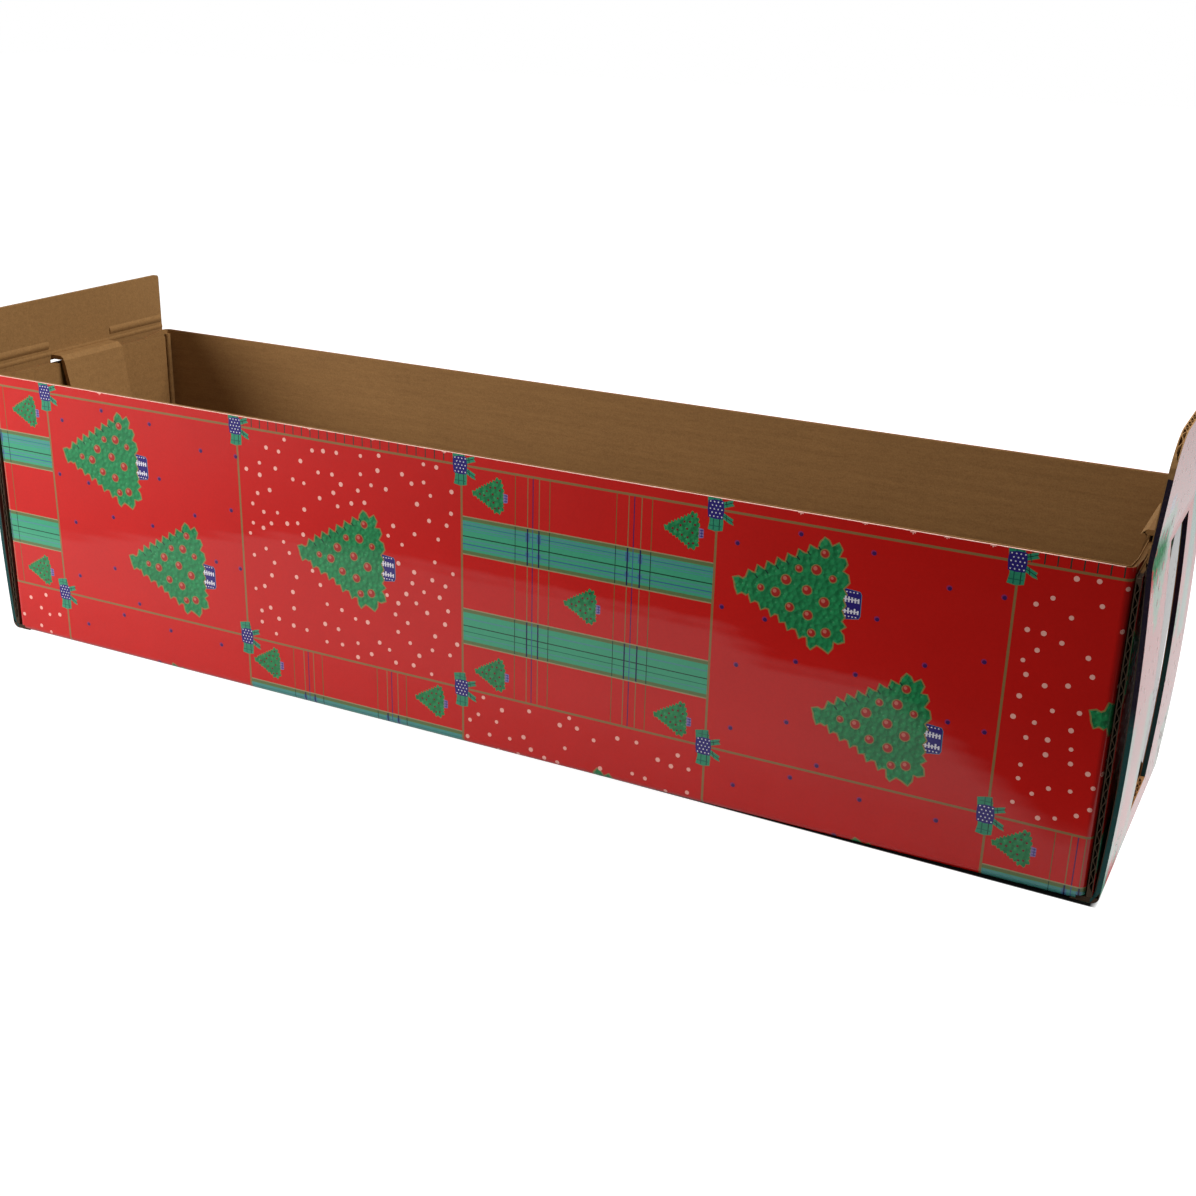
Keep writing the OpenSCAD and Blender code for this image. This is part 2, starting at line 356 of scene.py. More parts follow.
def end_parts(side):
    """Outline, window and bend lines of one end panel."""
    v0, v1 = blank_v(-END_HALF_W), blank_v(END_HALF_W)
    outline = [(FRONT_CORNER, v0), (U_TOP, v0), (U_TOP, v1), (FRONT_CORNER, v1)]
    window = []
    for z, sign in ((SILL_H, -1), (WINDOW_TOP_Z, -1), (WINDOW_TOP_Z, 1), (SILL_H, 1)):
        window.append((end_u(z), blank_v(sign * tongue_edge(CREASE_Z - z, KNIFE_GAP))))
    stops = [S_FOOT + (S_BOW - S_FOOT) * k / FOLD_STEPS for k in range(FOLD_STEPS)]
    stops += [S_BOW + (S_TOP - S_BOW) * k / BOW_STEPS for k in range(BOW_STEPS)]
    creases = [across(side, FRONT_CORNER + s, v0, v1) for s in stops]
    if side < 0:
        outline, window = mirrored(outline), mirrored(window)
    return outline, [window], creases


def rounded(points, radius, chosen, steps=6):
    """An outline with the chosen corners rounded."""
    result = []
    for k, corner in enumerate(points):
        if k not in chosen:
            result.append(corner)
            continue
        here = Vector(corner)
        a = (Vector(points[k - 1]) - here).normalized()
        b = (Vector(points[(k + 1) % len(points)]) - here).normalized()
        half = a.angle(b) / 2
        centre = here + (a + b).normalized() * radius / math.sin(half)
        first = here + a * radius / math.tan(half) - centre
        last = here + b * radius / math.tan(half) - centre
        for i in range(steps + 1):
            t = i / steps
            arm = (first * (1 - t) + last * t).normalized() * radius
            result.append(tuple(centre + arm))
    return result


def flap_outline(side):
    """A top flap's printed face, with its free corners rounded."""
    height, _, radius = FLAPS[side]
    v0, v1 = blank_v(-END_HALF_W), blank_v(END_HALF_W)
    outline = [(U_CREASE, v0), (U_CREASE + height, v0), (U_CREASE + height, v1), (U_CREASE, v1)]
    outline = rounded(outline, radius, (1, 2))
    return mirrored(outline) if side < 0 else outline


def strip_outline(side, u0, u1):
    """A plain strip across an end, from u0 to u1."""
    v0, v1 = blank_v(-END_HALF_W), blank_v(END_HALF_W)
    outline = [(u0, v0), (u1, v0), (u1, v1), (u0, v1)]
    return mirrored(outline) if side < 0 else outline


def tongue_outline(side):
    """The tongue's printed face on the blank, over the end panel's window."""
    root, tip = U_CREASE - TONGUE_X, U_CREASE - TONGUE_X - TONGUE_L
    a, b = tongue_edge(0, -TONGUE_MARGIN), tongue_edge(TONGUE_L, -TONGUE_MARGIN)
    outline = [(tip, blank_v(-b)), (root, blank_v(-a)), (root, blank_v(a)), (tip, blank_v(b))]
    outline = rounded(outline, TONGUE_CORNER_R, (0, 3))
    return mirrored(outline) if side < 0 else outline


def panels():
    """Name, body, fold, outline, cut-outs and bend lines of every printed part."""
    found = [("wrap", "carton", fold_wrap, wrap_outline(), [], wrap_creases())]
    for side, name in SIDES:
        outline, cuts, creases = end_parts(side)
        found.append((name + "_end", "carton", fold_end, outline, cuts, creases))
        found.append((name + "_top_flap", name + "_flap", fold_flap, flap_outline(side),
                      [], []))
        found.append((name + "_tongue", name + "_hook", fold_tongue,
                      tongue_outline(side), [], []))
    return found


def inside(point, outline):
    """Whether a point of the blank lies in an outline."""
    x, y = point
    hit = False
    for (x0, y0), (x1, y1) in zip(outline, outline[1:] + outline[:1]):
        if (y0 > y) != (y1 > y) and x < x0 + (y - y0) * (x1 - x0) / (y1 - y0):
            hit = not hit
    return hit


# The print: a patchwork of plaid, blue-dotted and white-dotted squares between gold lines

LINES_U = (-143.6, -73.7, -1.5, 69.4, 140.8)
ROW_V = 16.6
KINDS = (("plaid", "blue", "white"), ("white", "blue", "plaid"))
ROWS = range(-3, 2)
COLUMNS = range(-2, 8)

# For even rows and for odd rows: bands from v to v, and places in a square, from its lower left
BANDS = (((13.0, 23.4), (38.4, 49.0)),
         ((15.1, 24.6), (40.1, 49.6)))
STRIPE_GROUPS = ((15.9, 19.5, 21.0, 22.8, 25.8), (44.4, 47.7, 49.2, 51.2, 54.0))
STRIPES = ((0.2, "olive"), (0.26, "gold"), (0.26, "dusk"), (0.26, "gold"), (0.22, "olive"))
# What a stripe's ink becomes on a band, and how much wider the stripe is there
CROSSINGS = {"olive": ("pine", 0.0), "gold": ("midnight", 0.14), "dusk": ("denim", 0.0)}
CROSSING_HALF_W = 0.6
# Lines along the lower and the upper band: share of the band's height, width and ink
BAND_LINES = (((0.72, 0.4, "lagoon"), (0.52, 0.28, "pine"), (0.36, 0.2, "teal_dark"),
               (0.24, 0.3, "lagoon")),
              ((0.83, 0.5, "lagoon"), (0.77, 0.22, "denim"), (0.71, 0.5, "lagoon"),
               (0.64, 0.16, "sky"), (0.48, 0.3, "pine"), (0.38, 0.4, "lagoon"),
               (0.28, 0.3, "denim"), (0.2, 0.5, "lagoon")))
CELL_MARGIN = 1.3
BLUE_DOT_R = 0.5
BLUE_RIM_R = 0.68
BAND_SAND = 0.3
BAND_OLIVE = 1.2
TICK_FIRST = 2.4
TICK_LAST = 1.6
TICK_STEP = 2.8
TICK_W = 0.3
TICK_LOW = 0.4
TICK_HIGH = 3.2
SMALL_FIRS = (((3.4, 55.6), (57.4, 55.8), (30.4, 30.7), (4.0, 5.9), (56.6, 5.6)),
              ((1.9, 55.7), (57.1, 56.4), (30.4, 32.4), (4.0, 7.4), (56.6, 7.6)))
SMALL_FIR = 0.33
BIG_FIR_TURN = 0.6
BLUE_DOTS = (((5.6, 55.0), (21.2, 60.0), (38.9, 58.5), (56.9, 53.4), (69.2, 53.6), (2.5, 38.1),
              (13.7, 37.1), (41.0, 42.7), (66.5, 37.5), (53.2, 33.7), (37.1, 27.8),
              (22.2, 27.9), (7.1, 23.8), (6.6, 6.6), (21.0, 11.6), (59.9, 20.9), (29.5, 1.9),
              (68.5, 20.4)),
             ((8.2, 53.6), (23.0, 59.5), (40.9, 58.1), (59.8, 57.6), (35.3, 46.7), (8.0, 36.5),
              (62.4, 40.8), (12.9, 18.2), (33.6, 9.6), (55.2, 12.8)))
BIG_FIRS = ({"blue": ((5.7, 44.8), (27.9, 15.4)), "white": ((20.0, 29.6),), "plaid": ()},
            {"blue": ((19.4, 32.2),), "white": ((19.7, 33.2),), "plaid": ()})
BAUBLES = ((6.4, 0.2, 0.75), (10.2, -0.3, 1.1), (12.6, 3.3, 1.15), (13.9, -3.4, 1.0),
           (15.6, 6.6, 0.8), (17.9, 1.6, 1.1), (18.5, -4.6, 1.1), (19.9, 7.0, 1.15),
           (19.7, -8.9, 0.9), (21.7, 11.3, 0.95), (22.3, -0.7, 1.15), (23.2, -8.2, 1.1),
           (24.0, 5.4, 0.8))
# A fir that lies along u, its blunt tip at the origin
FIR = ((-0.7, 1.5), (-0.2, 0.3), (0.0, -0.9), (0.6, -2.4), (1.6, -1.7), (2.8, -2.2),
       (3.4, -1.8), (4.2, -4.0), (5.0, -3.3), (6.1, -3.6), (6.8, -5.3), (7.8, -4.6),
       (8.8, -4.8), (9.4, -6.6), (10.2, -5.7), (11.2, -5.8), (11.7, -7.6), (13.1, -7.3),
       (13.8, -9.3), (14.7, -8.5), (15.9, -8.6), (16.8, -10.8), (17.5, -10.0), (18.7, -10.1),
       (19.0, -12.2), (19.6, -13.0), (21.1, -11.6), (22.5, -12.1), (24.1, -13.1),
       (24.9, -11.8), (25.1, -10.0), (26.3, -10.2), (27.7, -9.6), (27.4, -8.0), (26.5, -6.9),
       (27.8, -5.8), (26.7, -4.6), (27.4, -3.5), (26.6, -1.9), (27.4, -0.6), (26.7, 0.9),
       (27.5, 2.2), (26.6, 3.5), (27.9, 5.2), (27.5, 6.9), (26.1, 7.7), (27.1, 9.6),
       (26.6, 10.8), (25.0, 10.9), (25.7, 12.9), (24.9, 14.3), (23.3, 13.2), (22.4, 14.5),
       (21.5, 15.1), (20.5, 13.8), (20.1, 12.0), (19.0, 12.2), (18.1, 12.8), (17.5, 10.5),
       (16.4, 10.6), (15.4, 11.3), (14.9, 9.1), (13.8, 9.2), (12.8, 9.8), (12.3, 7.5),
       (11.2, 7.7), (10.3, 8.4), (9.8, 6.2), (8.8, 6.4), (7.8, 7.0), (7.3, 4.8), (6.3, 5.0),
       (5.4, 5.7), (4.9, 3.5), (4.0, 3.6), (3.2, 4.1), (2.6, 2.1), (1.7, 1.5), (0.6, 1.9))
BAUBLE_RING = 0.26
BAUBLE_SHINE = ((-0.25, 0.3), 0.46)
SMALL_BAUBLE_R = 0.3
POT = ((26.7, -3.9), (30.8, -3.2), (31.1, -2.6), (31.1, 2.7), (30.8, 3.3), (26.8, 3.8))
# A knot's two ends and two tails, its middle, and the dark lines on the ends and tails
KNOT_PIECES = (((-2.4, 1.2), (1.2, 1.2), (1.0, 2.6), (0.7, 4.6), (-1.0, 4.3), (-2.7, 3.9)),
               ((-2.0, -1.6), (-1.8, -3.0), (-2.2, -5.2), (-0.3, -5.5), (1.5, -5.1),
                (1.6, -3.2), (1.5, -1.6)),
               ((1.0, 0.3), (2.2, 0.8), (3.2, 1.2), (4.2, 1.5), (3.6, 2.1), (4.0, 2.8),
                (2.8, 2.5), (1.0, 1.8)),
               ((1.0, -1.8), (2.2, -2.4), (3.2, -3.0), (4.3, -3.3), (3.8, -2.6), (4.1, -1.9),
                (2.8, -1.3), (1.0, -0.3)))
KNOT_MIDDLE = ((-2.3, -2.2), (-0.4, -2.45), (1.5, -2.3), (1.75, 0.0), (1.45, 2.3),
               (-0.5, 2.4), (-2.4, 2.0), (-2.55, 0.0))
KNOT_LINES = ((-1.0, 0.28, "teal_dark"), (0.55, 0.22, "pine"))
TAIL_LINES = (((1.2, 1.2), (4.1, 2.3)), ((1.2, -1.2), (4.2, -2.7)),
              ((2.4, 0.9), (2.1, 2.3)), ((2.5, -2.6), (2.2, -0.9)))
KNOT_PIN_R = 0.2
RIM_CHIPS = ((-122.7, 0.8), (-49.0, 0.6), (-28.8, 0.5), (-6.7, 0.7), (90.1, 0.8),
             (105.5, 0.6), (116.7, 0.9), (124.4, 0.6), (134.7, 0.7))


def gold_line(k):
    """Where the k-th gold line runs across the blank."""
    if k < 0:
        return LINES_U[0] + k * props().print.cell_width
    if k >= len(LINES_U):
        return LINES_U[-1] + (k - len(LINES_U) + 1) * props().print.cell_width
    return LINES_U[k]


def moved(points, at, turn=0.0):
    """Points turned and placed on the blank."""
    c, s = math.cos(turn), math.sin(turn)
    return [(at[0] + x * c - y * s, at[1] + x * s + y * c) for x, y in points]


def signed_area(points):
    """Twice an outline's area, positive when it runs anticlockwise."""
    return sum(a[0] * b[1] - b[0] * a[1] for a, b in zip(points, points[1:] + points[:1]))


def box_of(u0, v0, u1, v1):
    """Corners of a rectangle on the blank."""
    return [(u0, v0), (u1, v0), (u1, v1), (u0, v1)]


def grown(points, by):
    """An outline grown outwards along its corners' own directions."""
    count = len(points)
    result = []
    for i in range(count):
        a, b = Vector(points[i - 1]), Vector(points[(i + 1) % count])
        d = (b - a)
        result.append((points[i][0] + by * d.y / d.length, points[i][1] - by * d.x / d.length))
    return result


def pot_checks():
    """Pale boxes on a big fir's pot: two ladders of bars, their rails and two rows of dots."""
    boxes = []
    for k in range(5):
        x = 27.2 + 0.78 * k
        for low, tall in ((-2.3, 1.4 if k % 2 else 1.0), (0.5, 1.5 - 0.08 * k)):
            boxes.append(box_of(x, low, x + 0.42, low + tall))
    for low in (-1.85, 1.1):
        boxes.append(box_of(26.9, low, 30.7, low + 0.26))
    for k in range(4):
        x = 27.4 + 0.85 * k
        for low in (-3.15, 2.9):
            boxes.append(box_of(x, low, x + 0.35, low + 0.3))
    return boxes


# A field covers the fields of every level before its own
LEVELS = ("stripe", "tick", "band", "band_olive", "band_green", "band_line", "crossing",
          "crossing_line", "pot_edge", "pot", "fir_edge", "fir", "mark", "gold_line", "knot_edge",
          "knot", "knot_line", "knot_middle", "chip")


class Artwork:
    """Fields and discs of the print on the flat blank."""

    def __init__(self):
        self.fields = []
        self.discs = []
        self.white_cells = []
        self.keep_clear = []

    def field(self, level, ink, points):
        """Adds a flat colour field."""
        self.fields.append((LEVELS.index(level), ink, [tuple(p) for p in points]))

    def disc(self, ink, at, radius, layer):
        """Adds a disc, which Geometry Nodes makes later."""
        self.discs.append((ink, at, radius, layer))

    def keep_off(self, points):
        """Keeps the strewn dots off a shape."""
        self.keep_clear.append(points)

    def big_fir(self, at):
        """A fir with a gold edge, ringed baubles and a checked pot."""
        turn = math.radians(BIG_FIR_TURN)
        self.field("fir_edge", "bronze", moved(grown(FIR, 0.42), at, turn))
        self.field("fir", "fir", moved(FIR, at, turn))
        self.keep_off(moved(grown(FIR, 1.1), at, turn))
        self.keep_off(moved(grown(POT, 0.9), at, turn))
        self.field("pot_edge", "sky", moved(grown(POT, 0.16), at, turn))
        self.field("pot", "navy", moved(POT, at, turn))
        for box in pot_checks():
            self.field("mark", "pearl", moved(box, at, turn))
        for k in range(7):
            x = 4.6 + 2.55 * k
            tick = ((x, 0.62 * x + 0.3), (x + 0.75, 0.62 * x - 0.55), (x + 1.0, 0.62 * x - 0.35),
                    (x + 0.25, 0.62 * x + 0.5))
            self.field("mark", "pine", moved(tick, at, turn))
        for x, y, r in BAUBLES:
            centre = moved([(x, y)], at, turn)[0]
            self.disc("bronze", centre, r + BAUBLE_RING, 0)
            self.disc("bauble", centre, r, 1)
            (du, dv), share = BAUBLE_SHINE
            self.disc("shine", (centre[0] + du * r, centre[1] + dv * r), share * r, 2)

    def small_fir(self, at):
        """A small fir with dark baubles and a pale pot."""
        def small(points):
            return [(x * SMALL_FIR, y * SMALL_FIR * 1.05) for x, y in points]

        self.field("fir_edge", "bronze", moved(grown(small(FIR), 0.1), at))
        self.field("fir", "fir", moved(small(FIR), at))
        self.field("pot_edge", "lilac", moved(small(POT), at))
        for y in (-0.75, 0.0, 0.75):
            tick = box_of(28.0 * SMALL_FIR, y - 0.09, 31.0 * SMALL_FIR, y + 0.09)
            self.field("pot", "navy", moved(tick, at))
        tick = box_of(29.4 * SMALL_FIR, -1.0, 29.4 * SMALL_FIR + 0.16, 1.0)
        self.field("pot", "navy", moved(tick, at))
        for x, y, _ in BAUBLES:
            centre = moved(small([(x, y)]), at)[0]
            self.disc("wine", centre, SMALL_BAUBLE_R, 0)

    def knot(self, at):
        """A plaid ribbon tied over the crossing of two gold lines."""
        for piece in KNOT_PIECES:
            self.field("knot_edge", "gold", moved(grown(piece, 0.14), at))
            self.field("knot", "ribbon", moved(piece, at))
        for x, width, ink in KNOT_LINES:
            self.field("knot_line", ink, moved(box_of(x, -5.2, x + width, 4.3), at))
        for y in (-4.3, 3.1):
            self.field("knot_line", "teal_dark", moved(box_of(-2.0, y, 1.2, y + 0.22), at))
        for a, b in TAIL_LINES:
            d = (Vector(b) - Vector(a)).orthogonal().normalized() * 0.1
            line = [Vector(a) - d, Vector(b) - d, Vector(b) + d, Vector(a) + d]
            self.field("knot_line", "pine", moved(line, at))
        self.field("knot_middle", "navy", moved(KNOT_MIDDLE, at))
        for row in range(5):
            for k in range(4 - row % 2):
                x = -1.85 + 1.0 * k + 0.5 * (row % 2)
                self.disc("pearl", (at[0] + x, at[1] + 0.9 * (row - 2)), KNOT_PIN_R, 0)

    def band(self, left, right, low, high, which):
        """The lower or upper green band between beige lines, with soft and dark lines on it."""
        tall = high - low
        self.field("band", "sand", box_of(left, low, right, high))
        self.field("band_olive", "moss", box_of(left, low + BAND_SAND, right, high - BAND_SAND))
        self.field("band_green", "teal", box_of(left, low + BAND_OLIVE, right, high - BAND_OLIVE))
        for share, width, ink in BAND_LINES[which]:
            v = low + tall * share
            self.field("band_line", ink, box_of(left, v - width / 2, right, v + width / 2))

    def plaid(self, left, right, low, high, odd):
        """Two bands across, two groups of stripes up, and five small firs."""
        bands = BANDS[odd]
        for k, (b0, b1) in enumerate(bands):
            self.band(left, right, low + b0, low + b1, k)
        for group in STRIPE_GROUPS:
            for a, (width, ink) in zip(group, STRIPES):
                u = left + a - width / 2
                self.field("stripe", ink, box_of(u, low, u + width, high))
                over, more = CROSSINGS[ink]
                wide = width + more
                u = left + a - wide / 2
                for b0, b1 in bands:
                    self.field("crossing_line", over, box_of(u, low + b0 + BAND_SAND, u + wide,
                                                             low + b1 - BAND_SAND))
            b0, b1 = bands[1]
            for share, tall in ((0.75, 2.4), (0.3, 1.2)):
                v = low + b0 + (b1 - b0) * share
                for a in (group[1], group[3]):
                    self.field("crossing", "slate", box_of(
                        left + a - CROSSING_HALF_W, v - tall / 2,
                        left + a + CROSSING_HALF_W, v + tall / 2))
        for a, b in SMALL_FIRS[odd]:
            self.small_fir((left + a, low + b))

    def top_strip(self, kind, left, right, low):
        """The sliver of the next row of squares, which ends at the rim."""
        if kind != "plaid":
            return
        at = left + TICK_FIRST
        while at < right - TICK_LAST:
            self.field("tick", "pine", box_of(at, low + TICK_LOW, at + TICK_W, low + TICK_HIGH))
            at += TICK_STEP

    def cell(self, i, j):
        """One square of the patchwork."""
        left, right = gold_line(i - 1), gold_line(i)
        low = ROW_V + j * props().print.row_height
        high = low + props().print.row_height
        odd = j % 2
        kind = KINDS[odd][i % 3]
        if j > 0:
            self.top_strip(kind, left, right, low)
            return
        for a, b in BIG_FIRS[odd][kind]:
            self.big_fir((left + a, low + b))
        if kind == "plaid":
            self.plaid(left, right, low, high, odd)
        elif kind == "white":
            self.white_cells.append((left + CELL_MARGIN, low + CELL_MARGIN,
                                     right - CELL_MARGIN, high - CELL_MARGIN))
        else:
            for a, b in BLUE_DOTS[odd]:
                self.disc("violet", (left + a - 0.1, low + b + 0.12), BLUE_RIM_R, 0)
                self.disc("dusk", (left + a, low + b), BLUE_DOT_R, 1)

    def draw(self):
        """The whole blank."""
        for j in ROWS:
            for i in COLUMNS:
                self.cell(i, j)
        half = props().print.line_width / 2
        u0, u1 = gold_line(COLUMNS[0] - 1), gold_line(COLUMNS[-1])
        v0 = ROW_V + ROWS[0] * props().print.row_height
        v1 = ROW_V + (ROWS[-1] + 1) * props().print.row_height
        for i in COLUMNS:
            u = gold_line(i - 1)
            self.field("gold_line", "gold", box_of(u - half, v0, u + half, v1))
        for j in ROWS:
            v = ROW_V + j * props().print.row_height
            self.field("gold_line", "gold", box_of(u0, v - half, u1, v + half))
            for i in COLUMNS:
                self.knot((gold_line(i - 1), v))
        for u, depth in RIM_CHIPS:
            chip = [(-0.8, 0.2), (-0.55, -0.5 * depth), (-0.2, -0.35 * depth), (0.0, -depth),
                    (0.3, -0.45 * depth), (0.6, -0.6 * depth), (0.8, 0.2)]
            self.field("chip", "paper", moved(chip, (u, V_RIM)))
        return self


# Building


def props():
    """The scene's carton settings."""
    return bpy.context.scene.carton


def new_object(name, mesh):
    """A linked object at the origin."""
    made = bpy.data.objects.new(name, mesh)
    bpy.context.scene.collection.objects.link(made)
    return made


def make_mesh(name, points, faces, inks=None, materials=()):
    """A mesh in metres from points in millimetres."""
    mesh = bpy.data.meshes.new(name)
    mesh.from_pydata([(x * MM, y * MM, z * MM) for x, y, z in points], [], faces)
    for material in materials:
        mesh.materials.append(material)
    if inks:
        mesh.polygons.foreach_set("material_index", inks)
    mesh.validate()
    mesh.update()
    return mesh


def face_outwards(points, face, normal):
    """The face's corners in the order that makes it look along the normal."""
    a, b, c = (points[k] for k in face[:3])
    return face if (b - a).cross(c - a).dot(normal) >= 0 else tuple(reversed(face))


def touches(points, low, high):
    """Whether an outline's box meets a box of the blank."""
    us, vs = [p[0] for p in points], [p[1] for p in points]
    return (min(us) <= high[0] and max(us) >= low[0]
            and min(vs) <= high[1] and max(vs) >= low[1])


def flat_sheet(outline, cuts, creases, fields):
    """Points and triangles of an outline without its cuts, and each triangle's topmost ink."""
    coords, faces = [], []

    def add(points):
        start = len(coords)
        coords.extend(Vector(p) for p in points)
        return list(range(start, len(coords)))

    for shape in [outline, *cuts, *(f[2] for f in fields)]:
        faces.append(add(shape if signed_area(shape) > 0 else shape[::-1]))
    first_field = 1 + len(cuts)
    edges = [tuple(add(line)) for line in creases]
    flat, _, triangles, _, _, origins = delaunay_2d_cdt(coords, edges, faces, 0, 1e-5, True)
    kept, colours = [], []
    for triangle, sources in zip(triangles, origins):
        if 0 not in sources or any(0 < s < first_field for s in sources):
            continue
        best = max(((fields[s - first_field][0], fields[s - first_field][1])
                    for s in sources if s >= first_field), default=(0, "red"))
        kept.append(tuple(triangle))
        colours.append(best[1])
    return flat, kept, colours


def printed_panel(name, fold, outline, cuts, creases, fields, lift):
    """One part of the blank as a single sheet of colour fields, folded to its place."""
    low = (min(p[0] for p in outline), min(p[1] for p in outline))
    high = (max(p[0] for p in outline), max(p[1] for p in outline))
    chosen = [f for f in fields if touches(f[2], low, high)]
    flat, kept, colours = flat_sheet(outline, cuts, creases, chosen)
    inks = sorted({f[1] for f in chosen} | {"red"})
    used = sorted({k for face in kept for k in face})
    number = {k: i for i, k in enumerate(used)}
    folded = [fold(*flat[k]) for k in used]
    points = [point + normal * lift for point, normal in folded]
    normals = [normal for _, normal in folded]
    faces = []
    for face in kept:
        face = tuple(number[k] for k in face)
        faces.append(face_outwards(points, face, sum((normals[k] for k in face), Vector())))
    mesh = make_mesh(name, points, faces, [inks.index(colour) for colour in colours],
                     [ink(i) for i in inks])
    mesh.polygons.foreach_set("use_smooth", [True] * len(mesh.polygons))
    mesh.normals_split_custom_set_from_vertices([tuple(n) for n in normals])
    return new_object(name, mesh)


# Materials: their positions are metres in the carton's own frame, their scales features per metre


def maths(tree, operation, a, b=None, c=None):
    """A math node; numbers are set and sockets are linked."""
    made = tree.nodes.new("ShaderNodeMath")
    made.operation = operation
    for k, value in enumerate((a, b, c)):
        if isinstance(value, (int, float)):
            made.inputs[k].default_value = value
        elif value is not None:
            tree.links.new(value, made.inputs[k])
    return made.outputs[0]


def product(tree, first, *others):
    """The product of sockets and numbers."""
    for other in others:
        first = maths(tree, "MULTIPLY", first, other)
    return first


def weighted(tree, *terms):
    """The sum of pairs of a socket and its weight."""
    total = 0.0
    for value, weight in terms:
        total = maths(tree, "MULTIPLY_ADD", value, weight, total)
    return total


def blend_colours(tree, factor, a, b):
    """A colour mix; a and b are colours or sockets."""
    made = tree.nodes.new("ShaderNodeMix")
    made.data_type = "RGBA"
    for value, k in ((factor, 0), (a, 6), (b, 7)):
        if isinstance(value, (int, float)):
            made.inputs[k].default_value = value
        elif isinstance(value, (tuple, list)):
            made.inputs[k].default_value = (*value[:3], 1.0)
        else:
            tree.links.new(value, made.inputs[k])
    return made.outputs[2]


def noise(tree, vector, scale, detail=3.0, roughness=0.5):
    """Noise over the object's own coordinates."""
    made = tree.nodes.new("ShaderNodeTexNoise")
    made.inputs["Scale"].default_value = scale
    made.inputs["Detail"].default_value = detail
    made.inputs["Roughness"].default_value = roughness
    tree.links.new(vector, made.inputs["Vector"])
    return made.outputs["Fac"]


def ranged(tree, value, low, high, out_low=0.0, out_high=1.0):
    """Value from low to high as a number from out_low to out_high, clamped."""
    made = tree.nodes.new("ShaderNodeMapRange")
    for k, number in enumerate((low, high, out_low, out_high)):
        made.inputs[k + 1].default_value = number
    tree.links.new(value, made.inputs[0])
    return made.outputs[0]


def spread(tree, value, low=0.3, high=0.7):
    """The middle range of a noise as a number from -0.5 to 0.5."""
    return ranged(tree, value, low, high, -0.5, 0.5)


def stretched(tree, vector, scale):
    """Coordinates scaled along the axes."""
    made = tree.nodes.new("ShaderNodeMapping")
    made.inputs["Scale"].default_value = scale
    tree.links.new(vector, made.inputs["Vector"])
    return made.outputs["Vector"]


def axes_of(tree, vector):
    """The x, y and z sockets of a vector."""
    made = tree.nodes.new("ShaderNodeSeparateXYZ")
    tree.links.new(vector, made.inputs[0])
    return tuple(made.outputs)


def fresh_material(name):
    """A node material with only a surface shader in it, and its object coordinates."""
    made = bpy.data.materials.new(name)
    made.use_nodes = True
    tree = made.node_tree
    shader = tree.nodes["Principled BSDF"]
    place = tree.nodes.new("ShaderNodeTexCoord").outputs["Object"]
    return made, tree, shader, place


def surface(tree, shader, base, roughness, specular):
    """Sets a shader's base colour, roughness and specular level."""
    tree.links.new(base, shader.inputs["Base Color"])
    shader.inputs["Roughness"].default_value = roughness
    shader.inputs["Specular IOR Level"].default_value = specular


def add_bump(tree, height, strength, distance, socket):
    """Tilts a normal socket by a height."""
    bump = tree.nodes.new("ShaderNodeBump")
    bump.inputs["Strength"].default_value = strength
    bump.inputs["Distance"].default_value = distance
    tree.links.new(height, bump.inputs["Height"])
    tree.links.new(bump.outputs["Normal"], socket)


END_PANEL_X = 0.16675
FACING = 0.7
# Where the painted shade in the corners begins and is full, along x, y and z, and where it ends at
# the top
CORNER_X = (0.16470, 0.16500)
CORNER_Y = (-0.0345, -0.0358)
FOOT_X = (0.155, 0.160)
FOOT_Y = (-0.0340, -0.0360)
FOOT_Z = (0.0026, 0.0020)
CORNER_TOP_Z = (0.0835, 0.0820)
# Where the varnish ends in the folded corners, and where its ripples calm down
BARE_FROM_X = (0.1659, 0.1662)
BARE_TO_X = (0.1688, 0.1684)
BARE_Y = (-0.018, -0.022)
CALM_X = (0.1655, 0.1668)
# Where the painted shade on the cut edges turns from teal to dark
TEAL_TOP_Z = (0.050, 0.056)


def flute_lines(tree, place):
    """A wave across the flutes: round the walls, but across the width at the ends and base."""
    def beyond(value, limit):
        return maths(tree, "GREATER_THAN", maths(tree, "ABSOLUTE", value), limit)

    x, y, z = axes_of(tree, place)
    geometry = tree.nodes.new("ShaderNodeNewGeometry")
    across_x, _, upright = axes_of(tree, geometry.outputs["True Normal"])
    ends = product(tree, beyond(x, END_PANEL_X), beyond(across_x, FACING))
    along = tree.nodes.new("ShaderNodeMix")
    tree.links.new(maths(tree, "MAXIMUM", beyond(upright, FACING), ends), along.inputs[0])
    tree.links.new(z, along.inputs[2])
    tree.links.new(y, along.inputs[3])
    return maths(tree, "COSINE", product(tree, along.outputs[0], 2 * math.pi / (FLUTE_PITCH * MM)))


def painted_corner_shade(tree, place):
    """1 at the front upright corners and their feet, where shade is painted dark over the cut
    edges between the layers.
    """
    x, y, z = axes_of(tree, place)
    out = maths(tree, "ABSOLUTE", x)
    corner = product(tree, ranged(tree, out, *CORNER_X), ranged(tree, y, *CORNER_Y))
    foot = product(tree, ranged(tree, z, *FOOT_Z), ranged(tree, y, *FOOT_Y),
                   ranged(tree, out, *FOOT_X))
    return product(tree, maths(tree, "MAXIMUM", corner, foot), ranged(tree, z, *CORNER_TOP_Z))


